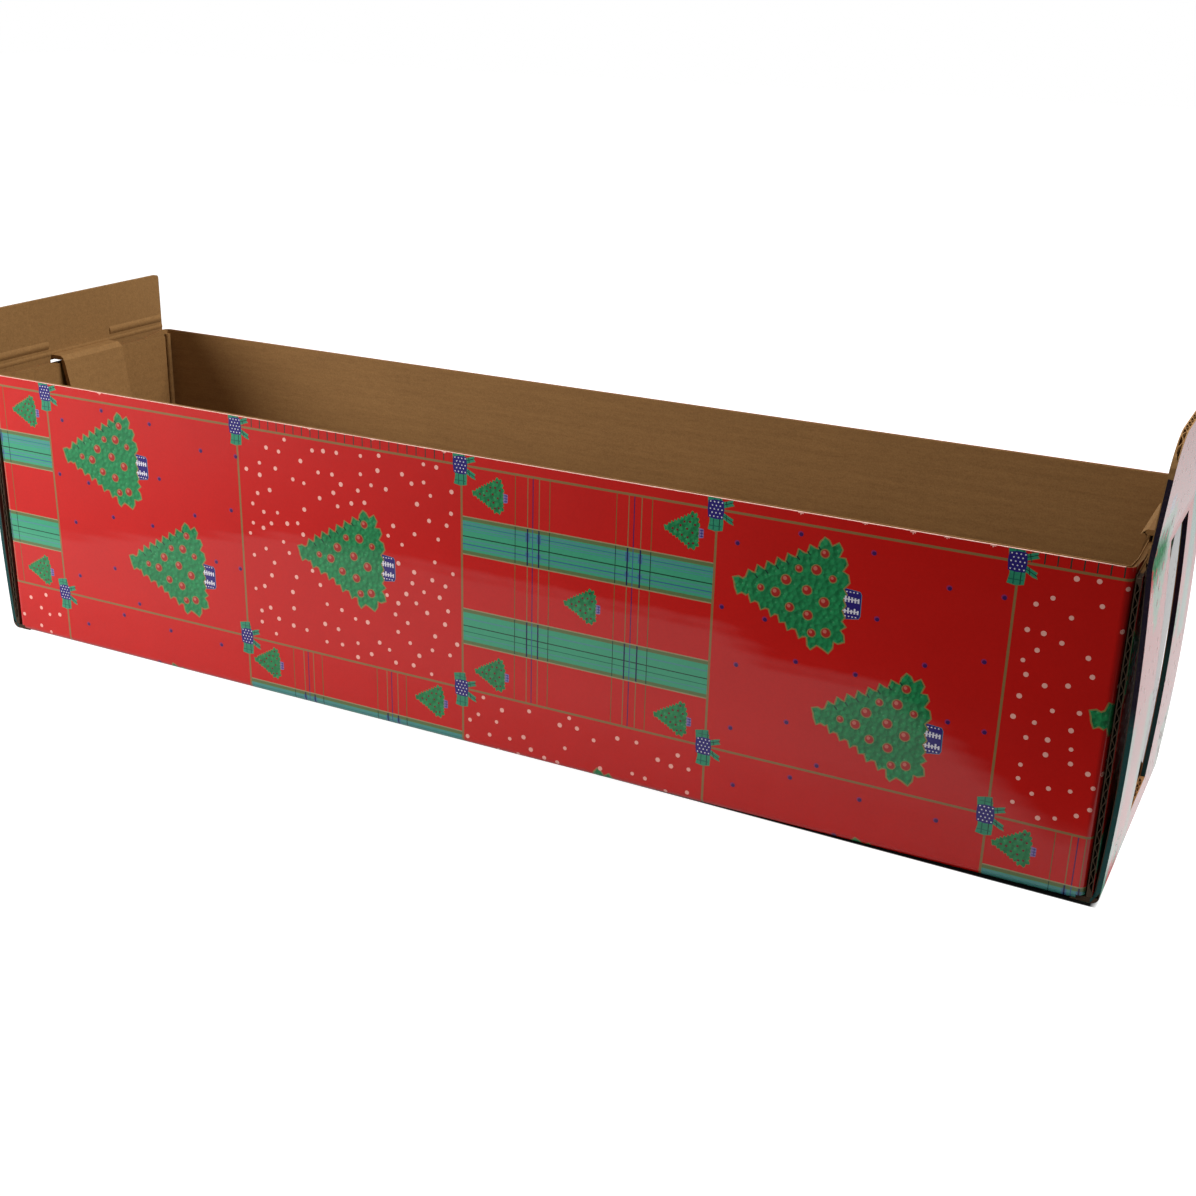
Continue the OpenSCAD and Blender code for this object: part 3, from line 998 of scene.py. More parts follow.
def board_finish(name, colour, dark, washboard):
    """Bare kraft liner: fibres, flecks and the faint washboard of the flutes under it, with
    painted shade in the front corners.
    """
    made, tree, shader, place = fresh_material(name)
    wave = flute_lines(tree, place)
    cloud = noise(tree, place, 26.0, 4.0, 0.6)
    fibre = noise(tree, stretched(tree, place, (1.0, 3.0, 4.0)), 340.0, 5.0, 0.7)
    streak = noise(tree, stretched(tree, place, (1.0, 8.0, 12.0)), 60.0, 3.0, 0.6)
    grain = noise(tree, place, 2600.0, 2.0, 0.6)
    fleck = noise(tree, stretched(tree, place, (0.6, 2.0, 2.0)), 900.0, 2.0)
    tone = weighted(tree, (spread(tree, cloud), 0.16), (spread(tree, fibre), 0.34),
                    (spread(tree, grain, 0.25, 0.75), 0.5), (spread(tree, streak), 0.22),
                    (wave, washboard))
    base = blend_colours(tree, ranged(tree, tone, -0.5, 0.5), dark, colour)
    base = blend_colours(tree, ranged(tree, fleck, 0.66, 0.74, 0.0, 0.16), base,
                         tuple(0.45 * c for c in dark))
    # Painted shade: the front corners and their feet turn near black
    base = blend_colours(tree, product(tree, painted_corner_shade(tree, place), 0.86), base,
                         (0.012, 0.010, 0.010))
    surface(tree, shader, base, 0.82, 0.25)
    height = weighted(tree, (fibre, 0.5), (grain, 0.35), (wave, 0.3))
    add_bump(tree, height, 0.5, 0.00006, shader.inputs["Normal"])
    return made


def fir_leaves(tree, shader, place, base):
    """Darker leaves, a small relief and light specks over the firs' green; the specks are painted
    glints of the relief.
    """
    cells = tree.nodes.new("ShaderNodeTexVoronoi")
    cells.inputs["Scale"].default_value = 720.0
    tree.links.new(place, cells.inputs["Vector"])
    distance = cells.outputs["Distance"]
    add_bump(tree, distance, 1.0, 0.0004, shader.inputs["Normal"])
    base = blend_colours(tree, ranged(tree, distance, 0.25, 0.6, 0.0, 0.24), base,
                         (0.008, 0.10, 0.04))
    # Painted glints: light specks at the middles of the relief's cells
    return blend_colours(tree, ranged(tree, distance, 0.2, 0.1, 0.0, 0.15), base,
                         (0.30, 0.62, 0.42))


def varnish(tree, shader, place):
    """A glossy coat with faint flutes and ripples, which ends in the folded corners."""
    x, y, _ = axes_of(tree, place)
    out = maths(tree, "ABSOLUTE", x)
    bare = product(tree, ranged(tree, out, *BARE_FROM_X), ranged(tree, out, *BARE_TO_X),
                   ranged(tree, y, *BARE_Y))
    shader.inputs["Coat Weight"].default_value = 1.0
    shader.inputs["Coat Roughness"].default_value = props().finish.varnish_roughness
    shader.inputs["Coat IOR"].default_value = 1.5
    tree.links.new(maths(tree, "SUBTRACT", 1.0, bare), shader.inputs["Coat Weight"])
    height = weighted(tree, (flute_lines(tree, place), 0.06),
                      (noise(tree, place, 90.0, 2.0, 0.4), 1.2))
    calm = ranged(tree, out, *CALM_X, 1.0, 0.2)
    add_bump(tree, product(tree, height, calm), 0.35, 0.00012, shader.inputs["Coat Normal"])


def ink(name):
    """A printed colour under the clear varnish."""
    found = bpy.data.materials.get("ink_" + name)
    if found:
        return found
    colour = tuple(getattr(props().colours, name))
    made, tree, shader, place = fresh_material("ink_" + name)
    mottle = noise(tree, place, 60.0, 5.0, 0.6)
    grain = noise(tree, place, 1500.0, 2.0, 0.5)
    tone = maths(tree, "MULTIPLY_ADD", spread(tree, grain), 0.5,
                 ranged(tree, mottle, 0.3, 0.7, 0.2, 0.8))
    strength = 0.5 if name in ("fir", "ribbon") else 0.16
    base = blend_colours(tree, product(tree, tone, strength), colour,
                         tuple(0.35 * c for c in colour))
    if name == "fir":
        base = fir_leaves(tree, shader, place, base)
    surface(tree, shader, base, 0.42, 0.06)
    varnish(tree, shader, place)
    return made


def paper_edge():
    """Paper of the printed liner, where the die cut it."""
    found = bpy.data.materials.get("cut_paper")
    if found:
        return found
    made, tree, shader, place = fresh_material("cut_paper")
    rough = noise(tree, place, 1800.0, 3.0, 0.6)
    base = blend_colours(tree, ranged(tree, rough, 0.3, 0.7), (0.86, 0.44, 0.35),
                         (0.96, 0.64, 0.56))
    surface(tree, shader, base, 0.8, 0.5)
    add_bump(tree, rough, 0.6, 0.0001, shader.inputs["Normal"])
    return made


def inked_edge():
    """Painted shade on the cut board edges, near black high up and dark teal lower down, with
    brown fibres.
    """
    found = bpy.data.materials.get("inked_edge")
    if found:
        return found
    made, tree, shader, place = fresh_material("inked_edge")
    colours = props().colours
    patch = noise(tree, stretched(tree, place, (1.0, 1.0, 0.5)), 120.0, 4.0, 0.6)
    fibre = noise(tree, place, 1500.0, 4.0, 0.65)
    height = maths(tree, "MULTIPLY_ADD", patch, 0.012, axes_of(tree, place)[2])
    base = blend_colours(tree, ranged(tree, height, *TEAL_TOP_Z), tuple(colours.edge_teal),
                         tuple(colours.edge))
    base = blend_colours(tree, ranged(tree, fibre, 0.52, 0.75, 0.0, 0.25), base,
                         (0.16, 0.09, 0.07))
    surface(tree, shader, base, 0.7, 0.15)
    add_bump(tree, fibre, 0.5, 0.0001, shader.inputs["Normal"])
    return made


# Geometry Nodes

DISC_SIDES = 12
PIN_SIDES = 6
# The strewn dots: points per square metre, and least and greatest radius as shares of a diameter
DOT_DENSITY = 70000.0
DOT_RADII = (0.42, 0.54)
# How near the strewn dots come to a knot along u and v
KNOT_CLEAR = (5.2, 6.0)


def node_group(name, inputs):
    """An empty geometry tree with these named inputs and their defaults."""
    tree = bpy.data.node_groups.new(name, "GeometryNodeTree")
    tree.interface.new_socket("Geometry", in_out="INPUT", socket_type="NodeSocketGeometry")
    keys = {}
    for label, kind, default in inputs:
        socket = tree.interface.new_socket(label, in_out="INPUT", socket_type=kind)
        if default is not None:
            socket.default_value = default
        keys[label] = socket.identifier
    tree.interface.new_socket("Geometry", in_out="OUTPUT", socket_type="NodeSocketGeometry")
    return tree, keys, tree.nodes.new("NodeGroupInput"), tree.nodes.new("NodeGroupOutput")


def disc_instances(tree, points, group, scale):
    """Flat discs on points, made real and given their ink; returns the last geometry socket."""
    link = tree.links.new
    disc = tree.nodes.new("GeometryNodeMeshCircle")
    disc.fill_type = "TRIANGLE_FAN"
    disc.inputs["Radius"].default_value = 1.0
    link(group.outputs["Sides"], disc.inputs["Vertices"])
    place = tree.nodes.new("GeometryNodeInstanceOnPoints")
    real = tree.nodes.new("GeometryNodeRealizeInstances")
    paint = tree.nodes.new("GeometryNodeSetMaterial")
    link(points, place.inputs["Points"])
    link(disc.outputs["Mesh"], place.inputs["Instance"])
    link(scale, place.inputs["Scale"])
    link(place.outputs["Instances"], real.inputs["Geometry"])
    link(real.outputs["Geometry"], paint.inputs["Geometry"])
    link(group.outputs["Ink"], paint.inputs["Material"])
    return paint.outputs["Geometry"]


def placed_discs_tree():
    """Discs on the points of a mesh, each as large as its point's disc_radius attribute."""
    tree, keys, group, out = node_group("placed_discs", (
        ("Size", "NodeSocketFloat", 1.0), ("Sides", "NodeSocketInt", DISC_SIDES),
        ("Ink", "NodeSocketMaterial", None)))
    radius = tree.nodes.new("GeometryNodeInputNamedAttribute")
    radius.data_type = "FLOAT"
    radius.inputs["Name"].default_value = "disc_radius"
    size = tree.nodes.new("ShaderNodeMath")
    size.operation = "MULTIPLY"
    tree.links.new(radius.outputs["Attribute"], size.inputs[0])
    tree.links.new(group.outputs["Size"], size.inputs[1])
    last = disc_instances(tree, group.outputs["Geometry"], group, size.outputs[0])
    tree.links.new(last, out.inputs["Geometry"])
    return tree, keys


def scattered_dots_tree():
    """Dots strewn over the faces of a mesh, none nearer to the next than the spacing."""
    tree, keys, group, out = node_group("scattered_dots", (
        ("Diameter", "NodeSocketFloat", 0.0014), ("Spacing", "NodeSocketFloat", 0.004),
        ("Density", "NodeSocketFloat", 20000.0), ("Seed", "NodeSocketInt", 7),
        ("Sides", "NodeSocketInt", DISC_SIDES), ("Ink", "NodeSocketMaterial", None)))
    strew = tree.nodes.new("GeometryNodeDistributePointsOnFaces")
    strew.distribute_method = "POISSON"
    link = tree.links.new
    link(group.outputs["Geometry"], strew.inputs["Mesh"])
    link(group.outputs["Spacing"], strew.inputs["Distance Min"])
    link(group.outputs["Density"], strew.inputs["Density Max"])
    link(group.outputs["Seed"], strew.inputs["Seed"])
    vary = tree.nodes.new("FunctionNodeRandomValue")
    vary.data_type = "FLOAT"
    vary.inputs[2].default_value, vary.inputs[3].default_value = DOT_RADII
    link(group.outputs["Seed"], vary.inputs["Seed"])
    size = tree.nodes.new("ShaderNodeMath")
    size.operation = "MULTIPLY"
    link(vary.outputs[1], size.inputs[0])
    link(group.outputs["Diameter"], size.inputs[1])
    last = disc_instances(tree, strew.outputs["Points"], group, size.outputs[0])
    link(last, out.inputs["Geometry"])
    return tree, keys


def evaluated_mesh(mesh, tree, keys, values):
    """The plain mesh that a geometry tree makes from a mesh; the modifier doesn't stay."""
    holder = new_object("blank_holder", mesh)
    modifier = holder.modifiers.new("carton_nodes", "NODES")
    modifier.node_group = tree
    for label, value in values.items():
        modifier[keys[label]] = value
    bpy.context.view_layer.update()
    depsgraph = bpy.context.evaluated_depsgraph_get()
    result = bpy.data.meshes.new_from_object(holder.evaluated_get(depsgraph))
    holder.modifiers.remove(modifier)
    bpy.data.objects.remove(holder)
    return result


def add_discs(store, ink_name, flat, sides, parts, lift, keep=None):
    """Folds flat discs of sides + 1 points onto the panels that hold all of their points."""
    coords = [(v.co.x / MM, v.co.y / MM) for v in flat.vertices]
    fans = [tuple(face.vertices) for face in flat.polygons[:sides]]
    found = {}
    for start in range(0, len(coords), sides + 1):
        corners = coords[start:start + sides + 1]
        if keep and not keep(corners):
            continue
        for name, body, fold, outline, cuts, _ in parts:
            if all(inside(p, outline) for p in corners) and not any(
                    inside(p, cut) for cut in cuts for p in corners):
                found.setdefault((name, body), []).append([fold(*p) for p in corners])
                break
    for (_, body), discs in found.items():
        points, faces, inks = store.setdefault(body, ([], [], []))
        for disc in discs:
            start = len(points)
            corners = [p + n * lift for p, n in disc]
            points.extend(corners)
            for fan in fans:
                face = face_outwards(corners, fan, disc[0][1])
                faces.append(tuple(start + k for k in face))
                inks.append(ink_name)


def disc_objects(store, prefix):
    """One object of discs for each body."""
    for body, (points, faces, inks) in store.items():
        names = sorted(set(inks))
        mesh = make_mesh(prefix + "_" + body, points, faces, [names.index(i) for i in inks],
                         [ink(n) for n in names])
        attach(new_object(prefix + "_" + body, mesh), body)


# Settings


def colour_prop(name, description, default):
    """A colour setting."""
    return bpy.props.FloatVectorProperty(name=name, description=description, subtype="COLOR",
                                         size=3, min=0.0, max=1.0, default=default)


class CartonPrint(bpy.types.PropertyGroup):
    """Sizes of the print, in millimetres."""

    cell_width: bpy.props.FloatProperty(
        name="Square width", description="Width of a square of the patchwork, in millimetres",
        default=71.1, min=20.0, max=200.0, unit="NONE")
    row_height: bpy.props.FloatProperty(
        name="Square height", description="Height of a square of the patchwork, in millimetres",
        default=62.5, min=20.0, max=200.0, unit="NONE")
    line_width: bpy.props.FloatProperty(
        name="Gold line", description="Width of the gold lines, in millimetres",
        default=0.62, min=0.2, max=3.0, unit="NONE")
    dot_diameter: bpy.props.FloatProperty(
        name="White dot", description="Diameter of a white dot", default=0.00124,
        min=0.0005, max=0.005, unit="LENGTH")
    dot_spacing: bpy.props.FloatProperty(
        name="Dot spacing", description="Least distance between two white dots",
        default=0.0033, min=0.002, max=0.02, unit="LENGTH")
    dot_seed: bpy.props.IntProperty(
        name="Dot seed", description="Seed of the strewn white dots", default=11, min=0)


class CartonColours(bpy.types.PropertyGroup):
    """Colours of the print and of the board."""

    red: colour_prop("Red", "Ground of the print", (0.62, 0.009, 0.006))
    bauble: colour_prop("Bauble", "Baubles on the firs", (0.42, 0.025, 0.018))
    shine: colour_prop("Bauble shine", "Light spot on a bauble", (0.62, 0.16, 0.12))
    fir: colour_prop("Fir", "Green of the firs", (0.018, 0.30, 0.095))
    ribbon: colour_prop("Ribbon", "Green of the ribbons", (0.035, 0.33, 0.18))
    teal: colour_prop("Band", "Green of the plaid bands", (0.055, 0.38, 0.21))
    pine: colour_prop("Dark line", "Thin dark lines on green", (0.01, 0.045, 0.03))
    teal_dark: colour_prop("Dark teal line", "Thin dark lines on ribbons", (0.012, 0.13, 0.09))
    lagoon: colour_prop("Soft blue stripe", "Soft blue stripes along the bands",
                        (0.085, 0.29, 0.30))
    slate: colour_prop("Crossing", "Blue where the stripes cross a band", (0.06, 0.19, 0.33))
    moss: colour_prop("Olive stripe", "Olive stripes along the bands", (0.13, 0.18, 0.065))
    sand: colour_prop("Sand line", "Pale edges of the bands", (0.36, 0.31, 0.16))
    bronze: colour_prop("Bronze", "Edges of the firs", (0.29, 0.22, 0.07))
    midnight: colour_prop("Midnight", "Dark lines where stripes cross a band",
                          (0.012, 0.014, 0.07))
    pearl: colour_prop("Pearl", "Pin dots and checks on navy", (0.80, 0.78, 0.84))
    dusk: colour_prop("Dusk", "Blue dots", (0.060, 0.012, 0.105))
    lilac: colour_prop("Lilac", "Pots of the small firs", (0.24, 0.19, 0.42))
    wine: colour_prop("Wine", "Baubles on the small firs", (0.16, 0.012, 0.02))
    # Painted shade on the cut edges of the end panels and flaps, dark teal in their lower part
    edge: colour_prop("Dark edge", "Inked edges of the end panels", (0.010, 0.006, 0.016))
    edge_teal: colour_prop("Dark teal edge", "Their lower part", (0.010, 0.060, 0.058))
    olive: colour_prop("Dull gold line", "Thin dull gold lines", (0.17, 0.13, 0.03))
    gold: colour_prop("Gold line", "Gold lines and edges", (0.29, 0.165, 0.06))
    sky: colour_prop("Blue line", "Light blue lines on the bands", (0.08, 0.24, 0.36))
    denim: colour_prop("Blue stripe", "Blue stripes where they cross a band",
                       (0.045, 0.13, 0.30))
    navy: colour_prop("Navy", "Knots, pots and blue dots", (0.028, 0.018, 0.19))
    violet: colour_prop("Violet", "Light edge of a blue dot", (0.34, 0.03, 0.14))
    paper: colour_prop("White", "White dots and checks", (1.0, 0.50, 0.42))
    kraft: colour_prop("Kraft", "Bare side of the board", (0.34, 0.180, 0.061))
    kraft_dark: colour_prop("Kraft shade", "Darker fibres of the bare side",
                            (0.20, 0.100, 0.032))


class CartonFinish(bpy.types.PropertyGroup):
    """Surface settings."""

    varnish_roughness: bpy.props.FloatProperty(
        name="Varnish roughness", description="Roughness of the clear varnish over the print",
        default=0.035, min=0.0, max=1.0, subtype="FACTOR")
    washboard: bpy.props.FloatProperty(
        name="Washboard", description="How strongly the flutes show through the liner",
        default=0.02, min=0.0, max=0.5, subtype="FACTOR")


class CartonStudio(bpy.types.PropertyGroup):
    """Light of the studio."""

    key_power: bpy.props.FloatProperty(
        name="Key lamp", description="Power of the lamp in front on the left",
        default=2.25, min=0.0, max=200.0, unit="POWER")
    fill_power: bpy.props.FloatProperty(
        name="Top lamp", description="Power of the soft lamp above",
        default=5.0, min=0.0, max=200.0, unit="POWER")
    surround: bpy.props.FloatProperty(
        name="Surround", description="Strength of the even light all round",
        default=0.13, min=0.0, max=2.0)


class CartonSettings(bpy.types.PropertyGroup):
    """All settings of the carton."""

    print: bpy.props.PointerProperty(type=CartonPrint, name="Print",
                                     description="Sizes of the print")
    colours: bpy.props.PointerProperty(type=CartonColours, name="Colours",
                                       description="Colours of the print and the board")
    finish: bpy.props.PointerProperty(type=CartonFinish, name="Finish",
                                      description="Surface settings")
    studio: bpy.props.PointerProperty(type=CartonStudio, name="Studio",
                                      description="Light of the studio")


# Operators


class CARTON_OT_board(bpy.types.Operator):
    """Give the folded board, its top flaps and its tongues their kraft finish"""

    bl_idname = "carton.board"
    bl_label = "Bare board"

    def execute(self, context):
        colours = context.scene.carton.colours
        washboard = context.scene.carton.finish.washboard
        kraft = board_finish("kraft_board", tuple(colours.kraft), tuple(colours.kraft_dark),
                             washboard)
        for name in frame["nodes"]:
            slots = frame["nodes"][name].material_slots
            for slot in slots:
                slot.material = kraft
        return {"FINISHED"}


class CARTON_OT_print(bpy.types.Operator):
    """Print the outside of every panel"""

    bl_idname = "carton.print"
    bl_label = "Print"

    def execute(self, context):
        art = Artwork().draw()
        for name, body, fold, outline, cuts, creases in panels():
            sheet = printed_panel(name + "_print", fold, outline, cuts, creases, art.fields,
                                  LIFT_PRINT)
            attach(sheet, body)
        return {"FINISHED"}


class CARTON_OT_discs(bpy.types.Operator):
    """Add the blue dots, the baubles and the knots' pin dots"""

    bl_idname = "carton.discs"
    bl_label = "Placed dots"

    def execute(self, context):
        tree, keys = placed_discs_tree()
        parts, store = panels(), {}
        groups = {}
        for ink_name, at, radius, layer in Artwork().draw().discs:
            groups.setdefault((layer, ink_name), []).append((at, radius))
        for (layer, ink_name), discs in sorted(groups.items()):
            sides = PIN_SIDES if ink_name == "pearl" else DISC_SIDES
            mesh = bpy.data.meshes.new("disc_points")
            mesh.from_pydata([(u * MM, v * MM, 0) for (u, v), _ in discs], [], [])
            radii = mesh.attributes.new("disc_radius", "FLOAT", "POINT")
            radii.data.foreach_set("value", [r * MM for _, r in discs])
            flat = evaluated_mesh(mesh, tree, keys, {"Size": 1.0, "Sides": sides,
                                                     "Ink": ink(ink_name)})
            add_discs(store, ink_name, flat, sides, parts, LIFT_DOTS + LIFT_STEP * layer)
        disc_objects(store, "placed_dots")
        return {"FINISHED"}


class CARTON_OT_white_dots(bpy.types.Operator):
    """Strew the white dots over their squares"""

    bl_idname = "carton.white_dots"
    bl_label = "White dots"

    def execute(self, context):
        settings = context.scene.carton.print
        tree, keys = scattered_dots_tree()
        art, parts, store = Artwork().draw(), panels(), {}
        points, faces = [], []
        for u0, v0, u1, v1 in art.white_cells:
            start = len(points)
            points += [(u0, v0, 0), (u1, v0, 0), (u1, v1, 0), (u0, v1, 0)]
            faces.append((start, start + 1, start + 2, start + 3))
        flat = evaluated_mesh(make_mesh("white_squares", points, faces), tree, keys, {
            "Diameter": settings.dot_diameter, "Spacing": settings.dot_spacing,
            "Density": DOT_DENSITY, "Seed": settings.dot_seed, "Sides": DISC_SIDES,
            "Ink": ink("paper")})
        knots = [(gold_line(i - 1), ROW_V + j * settings.row_height)
                 for i in COLUMNS for j in ROWS]
        shapes = [(min(p[0] for p in s), min(p[1] for p in s), max(p[0] for p in s),
                   max(p[1] for p in s), s) for s in art.keep_clear]

        def keep(corners):
            u, v = corners[0]
            if any(abs(u - a) < KNOT_CLEAR[0] and abs(v - b) < KNOT_CLEAR[1] for a, b in knots):
                return False
            return not any(a <= u <= c and b <= v <= d and inside((u, v), s)
                           for a, b, c, d, s in shapes)

        add_discs(store, "paper", flat, DISC_SIDES, parts, LIFT_DOTS, keep)
        disc_objects(store, "white_dots")
        return {"FINISHED"}


def crease_strip(name, rows, material):
    """A strip of board skin over a crease."""
    count = len(rows[0])
    points = [p for row in rows for p in row]
    faces = []
    for i in range(len(rows) - 1):
        for k in range(count - 1):
            a = i * count + k
            faces.append((a, a + 1, a + count + 1, a + count))
    mesh = make_mesh(name, points, faces, None, [material])
    mesh.polygons.foreach_set("use_smooth", [True] * len(mesh.polygons))
    made = new_object(name, mesh)
    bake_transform(made)
    return made


class CARTON_OT_creases(bpy.types.Operator):
    """Close the creases of the top flaps and tongues with liner"""

    bl_idname = "carton.creases"
    bl_label = "Creases"

    def execute(self, context):
        art = Artwork().draw()
        kraft = bpy.data.materials["kraft_board"]
        for side, name in SIDES:
            bends = [across(side, u, blank_v(-END_HALF_W), blank_v(END_HALF_W))
                     for u in spaced(U_TOP, U_CREASE, PRINT_BENDS)[1:-1]]
            outer = printed_panel(name + "_crease_print", fold_crease,
                                  strip_outline(side, U_TOP, U_CREASE), [], bends, art.fields,
                                  LIFT_PRINT)
            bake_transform(outer)
            rows = []
            for t in spaced(0, 1, LINER_STEPS):
                x = END_X - HALF_T - LIFT_PRINT - LINER_BULGE * math.sin(math.pi * t)
                z = END_TOP_Z + CREASE_L * t
                row = [skew_end((x, y, z), (1, 0, 0), side)[0]
                       for y in (-END_HALF_W, END_HALF_W)]
                rows.append(row if side < 0 else row[::-1])
            crease_strip(name + "_crease_liner", rows, kraft)
            self.tongue_skin(side, name, kraft)
        return {"FINISHED"}

    def tongue_skin(self, side, name, kraft):
        """Kraft liner round the bend between a bridge and its tongue."""
        r = HALF_T + LIFT_PRINT
        bridge = (END_X - BRIDGE_L, BRIDGE_Z)
        hinge = (END_X - TONGUE_X, TONGUE_Z)
        half = TONGUE_ROOT_W / 2 - SKIN_INSET
        turns = [(bridge, a) for a in spaced(90, 90 + BRIDGE_TURN, SKIN_STEPS)]
        turns += [(hinge, a) for a in spaced(90 + BRIDGE_TURN, 180 - TONGUE_LEAN, SKIN_STEPS)]
        rows = []
        for (x, z), degrees in turns:
            a = math.radians(degrees)
            row = [skew_end((x + r * math.cos(a), y, z + r * math.sin(a)), (1, 0, 0), side)[0]
                   for y in (-half, half)]
            rows.append(row if side > 0 else row[::-1])
        crease_strip(name + "_tongue_liner", rows, kraft)


class CARTON_OT_cut_edges(bpy.types.Operator):
    """Show the paper of the printed liner along the rims, and painted shade on the cut edges of
    the ends
    """

    bl_idname = "carton.cut_edges"
    bl_label = "Cut edges"

    def execute(self, context):
        chance = random.Random(RIM_SEED)
        points, faces = [], []
        for v_rim, corner, inwards in ((-1, FRONT_CORNER, 1), (1, BACK_CORNER, -1)):
            y_out = v_rim * (HALF_W + LIFT_PRINT)
            for k, x in enumerate(spaced(-corner, corner, RIM_STEPS)):
                width = LINER_T + RIM_MARGIN + RIM_RAGGED * chance.random()
                drop = RIM_MARGIN + RIM_DROP * chance.random()
                start = len(points)
                points += [(x, y_out + v_rim * RIM_OUT, WALL_H - drop),
                           (x, y_out + v_rim * RIM_OUT, WALL_H + RIM_OVER),
                           (x, y_out + inwards * width, WALL_H + RIM_OVER)]
                if k:
                    for a in range(2):
                        quad = (start - 3 + a, start + a, start + a + 1, start - 2 + a)
                        faces.append(quad if v_rim < 0 else quad[::-1])
        mesh = make_mesh("rim_paper", [Vector(p) for p in points], faces, None, [paper_edge()])
        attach(new_object("rim_paper", mesh), "carton")
        self.inked_edges()
        return {"FINISHED"}

    def inked_edges(self):
        """Painted dark shade on cut edges of the end panels, their windows and the top flaps."""
        v = blank_v(-END_HALF_W)
        for side, name in SIDES:
            us = spaced(FRONT_CORNER + S_FOOT, U_TOP, PANEL_STEPS)
            paths = [([(side * u, v) for u in us], (0, 1))]
            for sign in (-1, 1):
                path = [(side * end_u(z), blank_v(sign * tongue_edge(CREASE_Z - z, KNIFE_GAP)))
                        for z in spaced(SILL_H, WINDOW_TOP_Z, WINDOW_STEPS)]
                paths.append((path, (0, sign)))
            self.edge_object(name + "_end_edge", "carton", "printed_board", fold_end, paths)
            height, _, radius = FLAPS[side]
            us = spaced(U_CREASE, U_CREASE + height - radius, FLAP_STEPS)
            self.crease_edge(side, name)
            self.edge_object(name + "_flap_edge", name + "_flap", "flap_board", fold_flap,
                             [([(side * u, v) for u in us], (0, 1))])

    def crease_edge(self, side, name):
        """The cut edge across a top flap's crease, painted dark with shade."""
        v = blank_v(-END_HALF_W)
        rows = []
        for u in spaced(U_TOP, U_CREASE, CREASE_STEPS):
            point, normal = fold_crease(side * u, v)
            point = point - Vector((0, LIFT_EDGE, 0))
            row = [point + normal * LIFT_PRINT, point - normal * EDGE_DEPTH]
            rows.append(row if side < 0 else row[::-1])
        crease_strip(name + "_crease_edge", rows, inked_edge())

    def edge_object(self, name, body, slot, fold, paths):
        """Strips over the board's thickness along paths on the blank, painted dark with shade."""
        points, faces = [], []
        for path, way in paths:
            start = len(points)
            looks = []
            du, dv = way
            for u, v in path:
                point, normal = fold(u, v)
                beside, _ = fold(u + du, v + dv)
                out = beside - point
                out = (out - normal * out.dot(normal)).normalized()
                points.append(point + normal * LIFT_PRINT + out * LIFT_EDGE)
                points.append(point - normal * EDGE_DEPTH + out * LIFT_EDGE)
                looks.append(out)
            for k in range(len(path) - 1):
                a = start + 2 * k
                faces.append(face_outwards(points, (a, a + 1, a + 3, a + 2),
                                           looks[k] + looks[k + 1]))
        mesh = make_mesh(name, points, faces, None, [inked_edge()])
        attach(new_object(name, mesh), body)


# The lamps' diameters, places and aims, in millimetres
KEY_LAMP = (230, (-386, -324, 245), (-130, 0, 40))
TOP_LAMP = (400, (300, 60, 620), (-150, 0, 60))

# The photograph's camera: azimuth, elevation and roll in degrees, lens, and place in metres
CAMERA_ANGLES = (26.216, 21.197, 1.506)
CAMERA_LENS = 47.43
CAMERA_AT = (0.2018, -0.3713, 0.1939)

# The floor, in metres: where it turns dark in front of the carton, how that edge steps along x
# (from, to, shift), and the contact shade under the front wall (from x to x, from gap to gap)
FLOOR_Z = -0.07
FLOOR_SIZE = 3000.0
DARK_EDGE_Y = 0.155
DARK_EDGE_STEPS = ((-0.147, -0.215, -0.042), (0.024, 0.052, -0.021), (0.088, 0.151, -0.0645))
CONTACT_GAP = (-0.03, 0.165, 0.0367, 0.0404)
DARK_EDGE_SOFT = (0.007, -0.007)
DARK_FADE_X = (0.05, -0.25)
# How bright the floor is, its dark part on the right and on the left, and its contact shade
FLOOR_TONE = (0.48, 0.48, 0.48)
DARK_TONES = ((0.01, 0.01, 0.01), (0.24, 0.24, 0.24))
SHADE_TONE = (0.01, 0.01, 0.01)


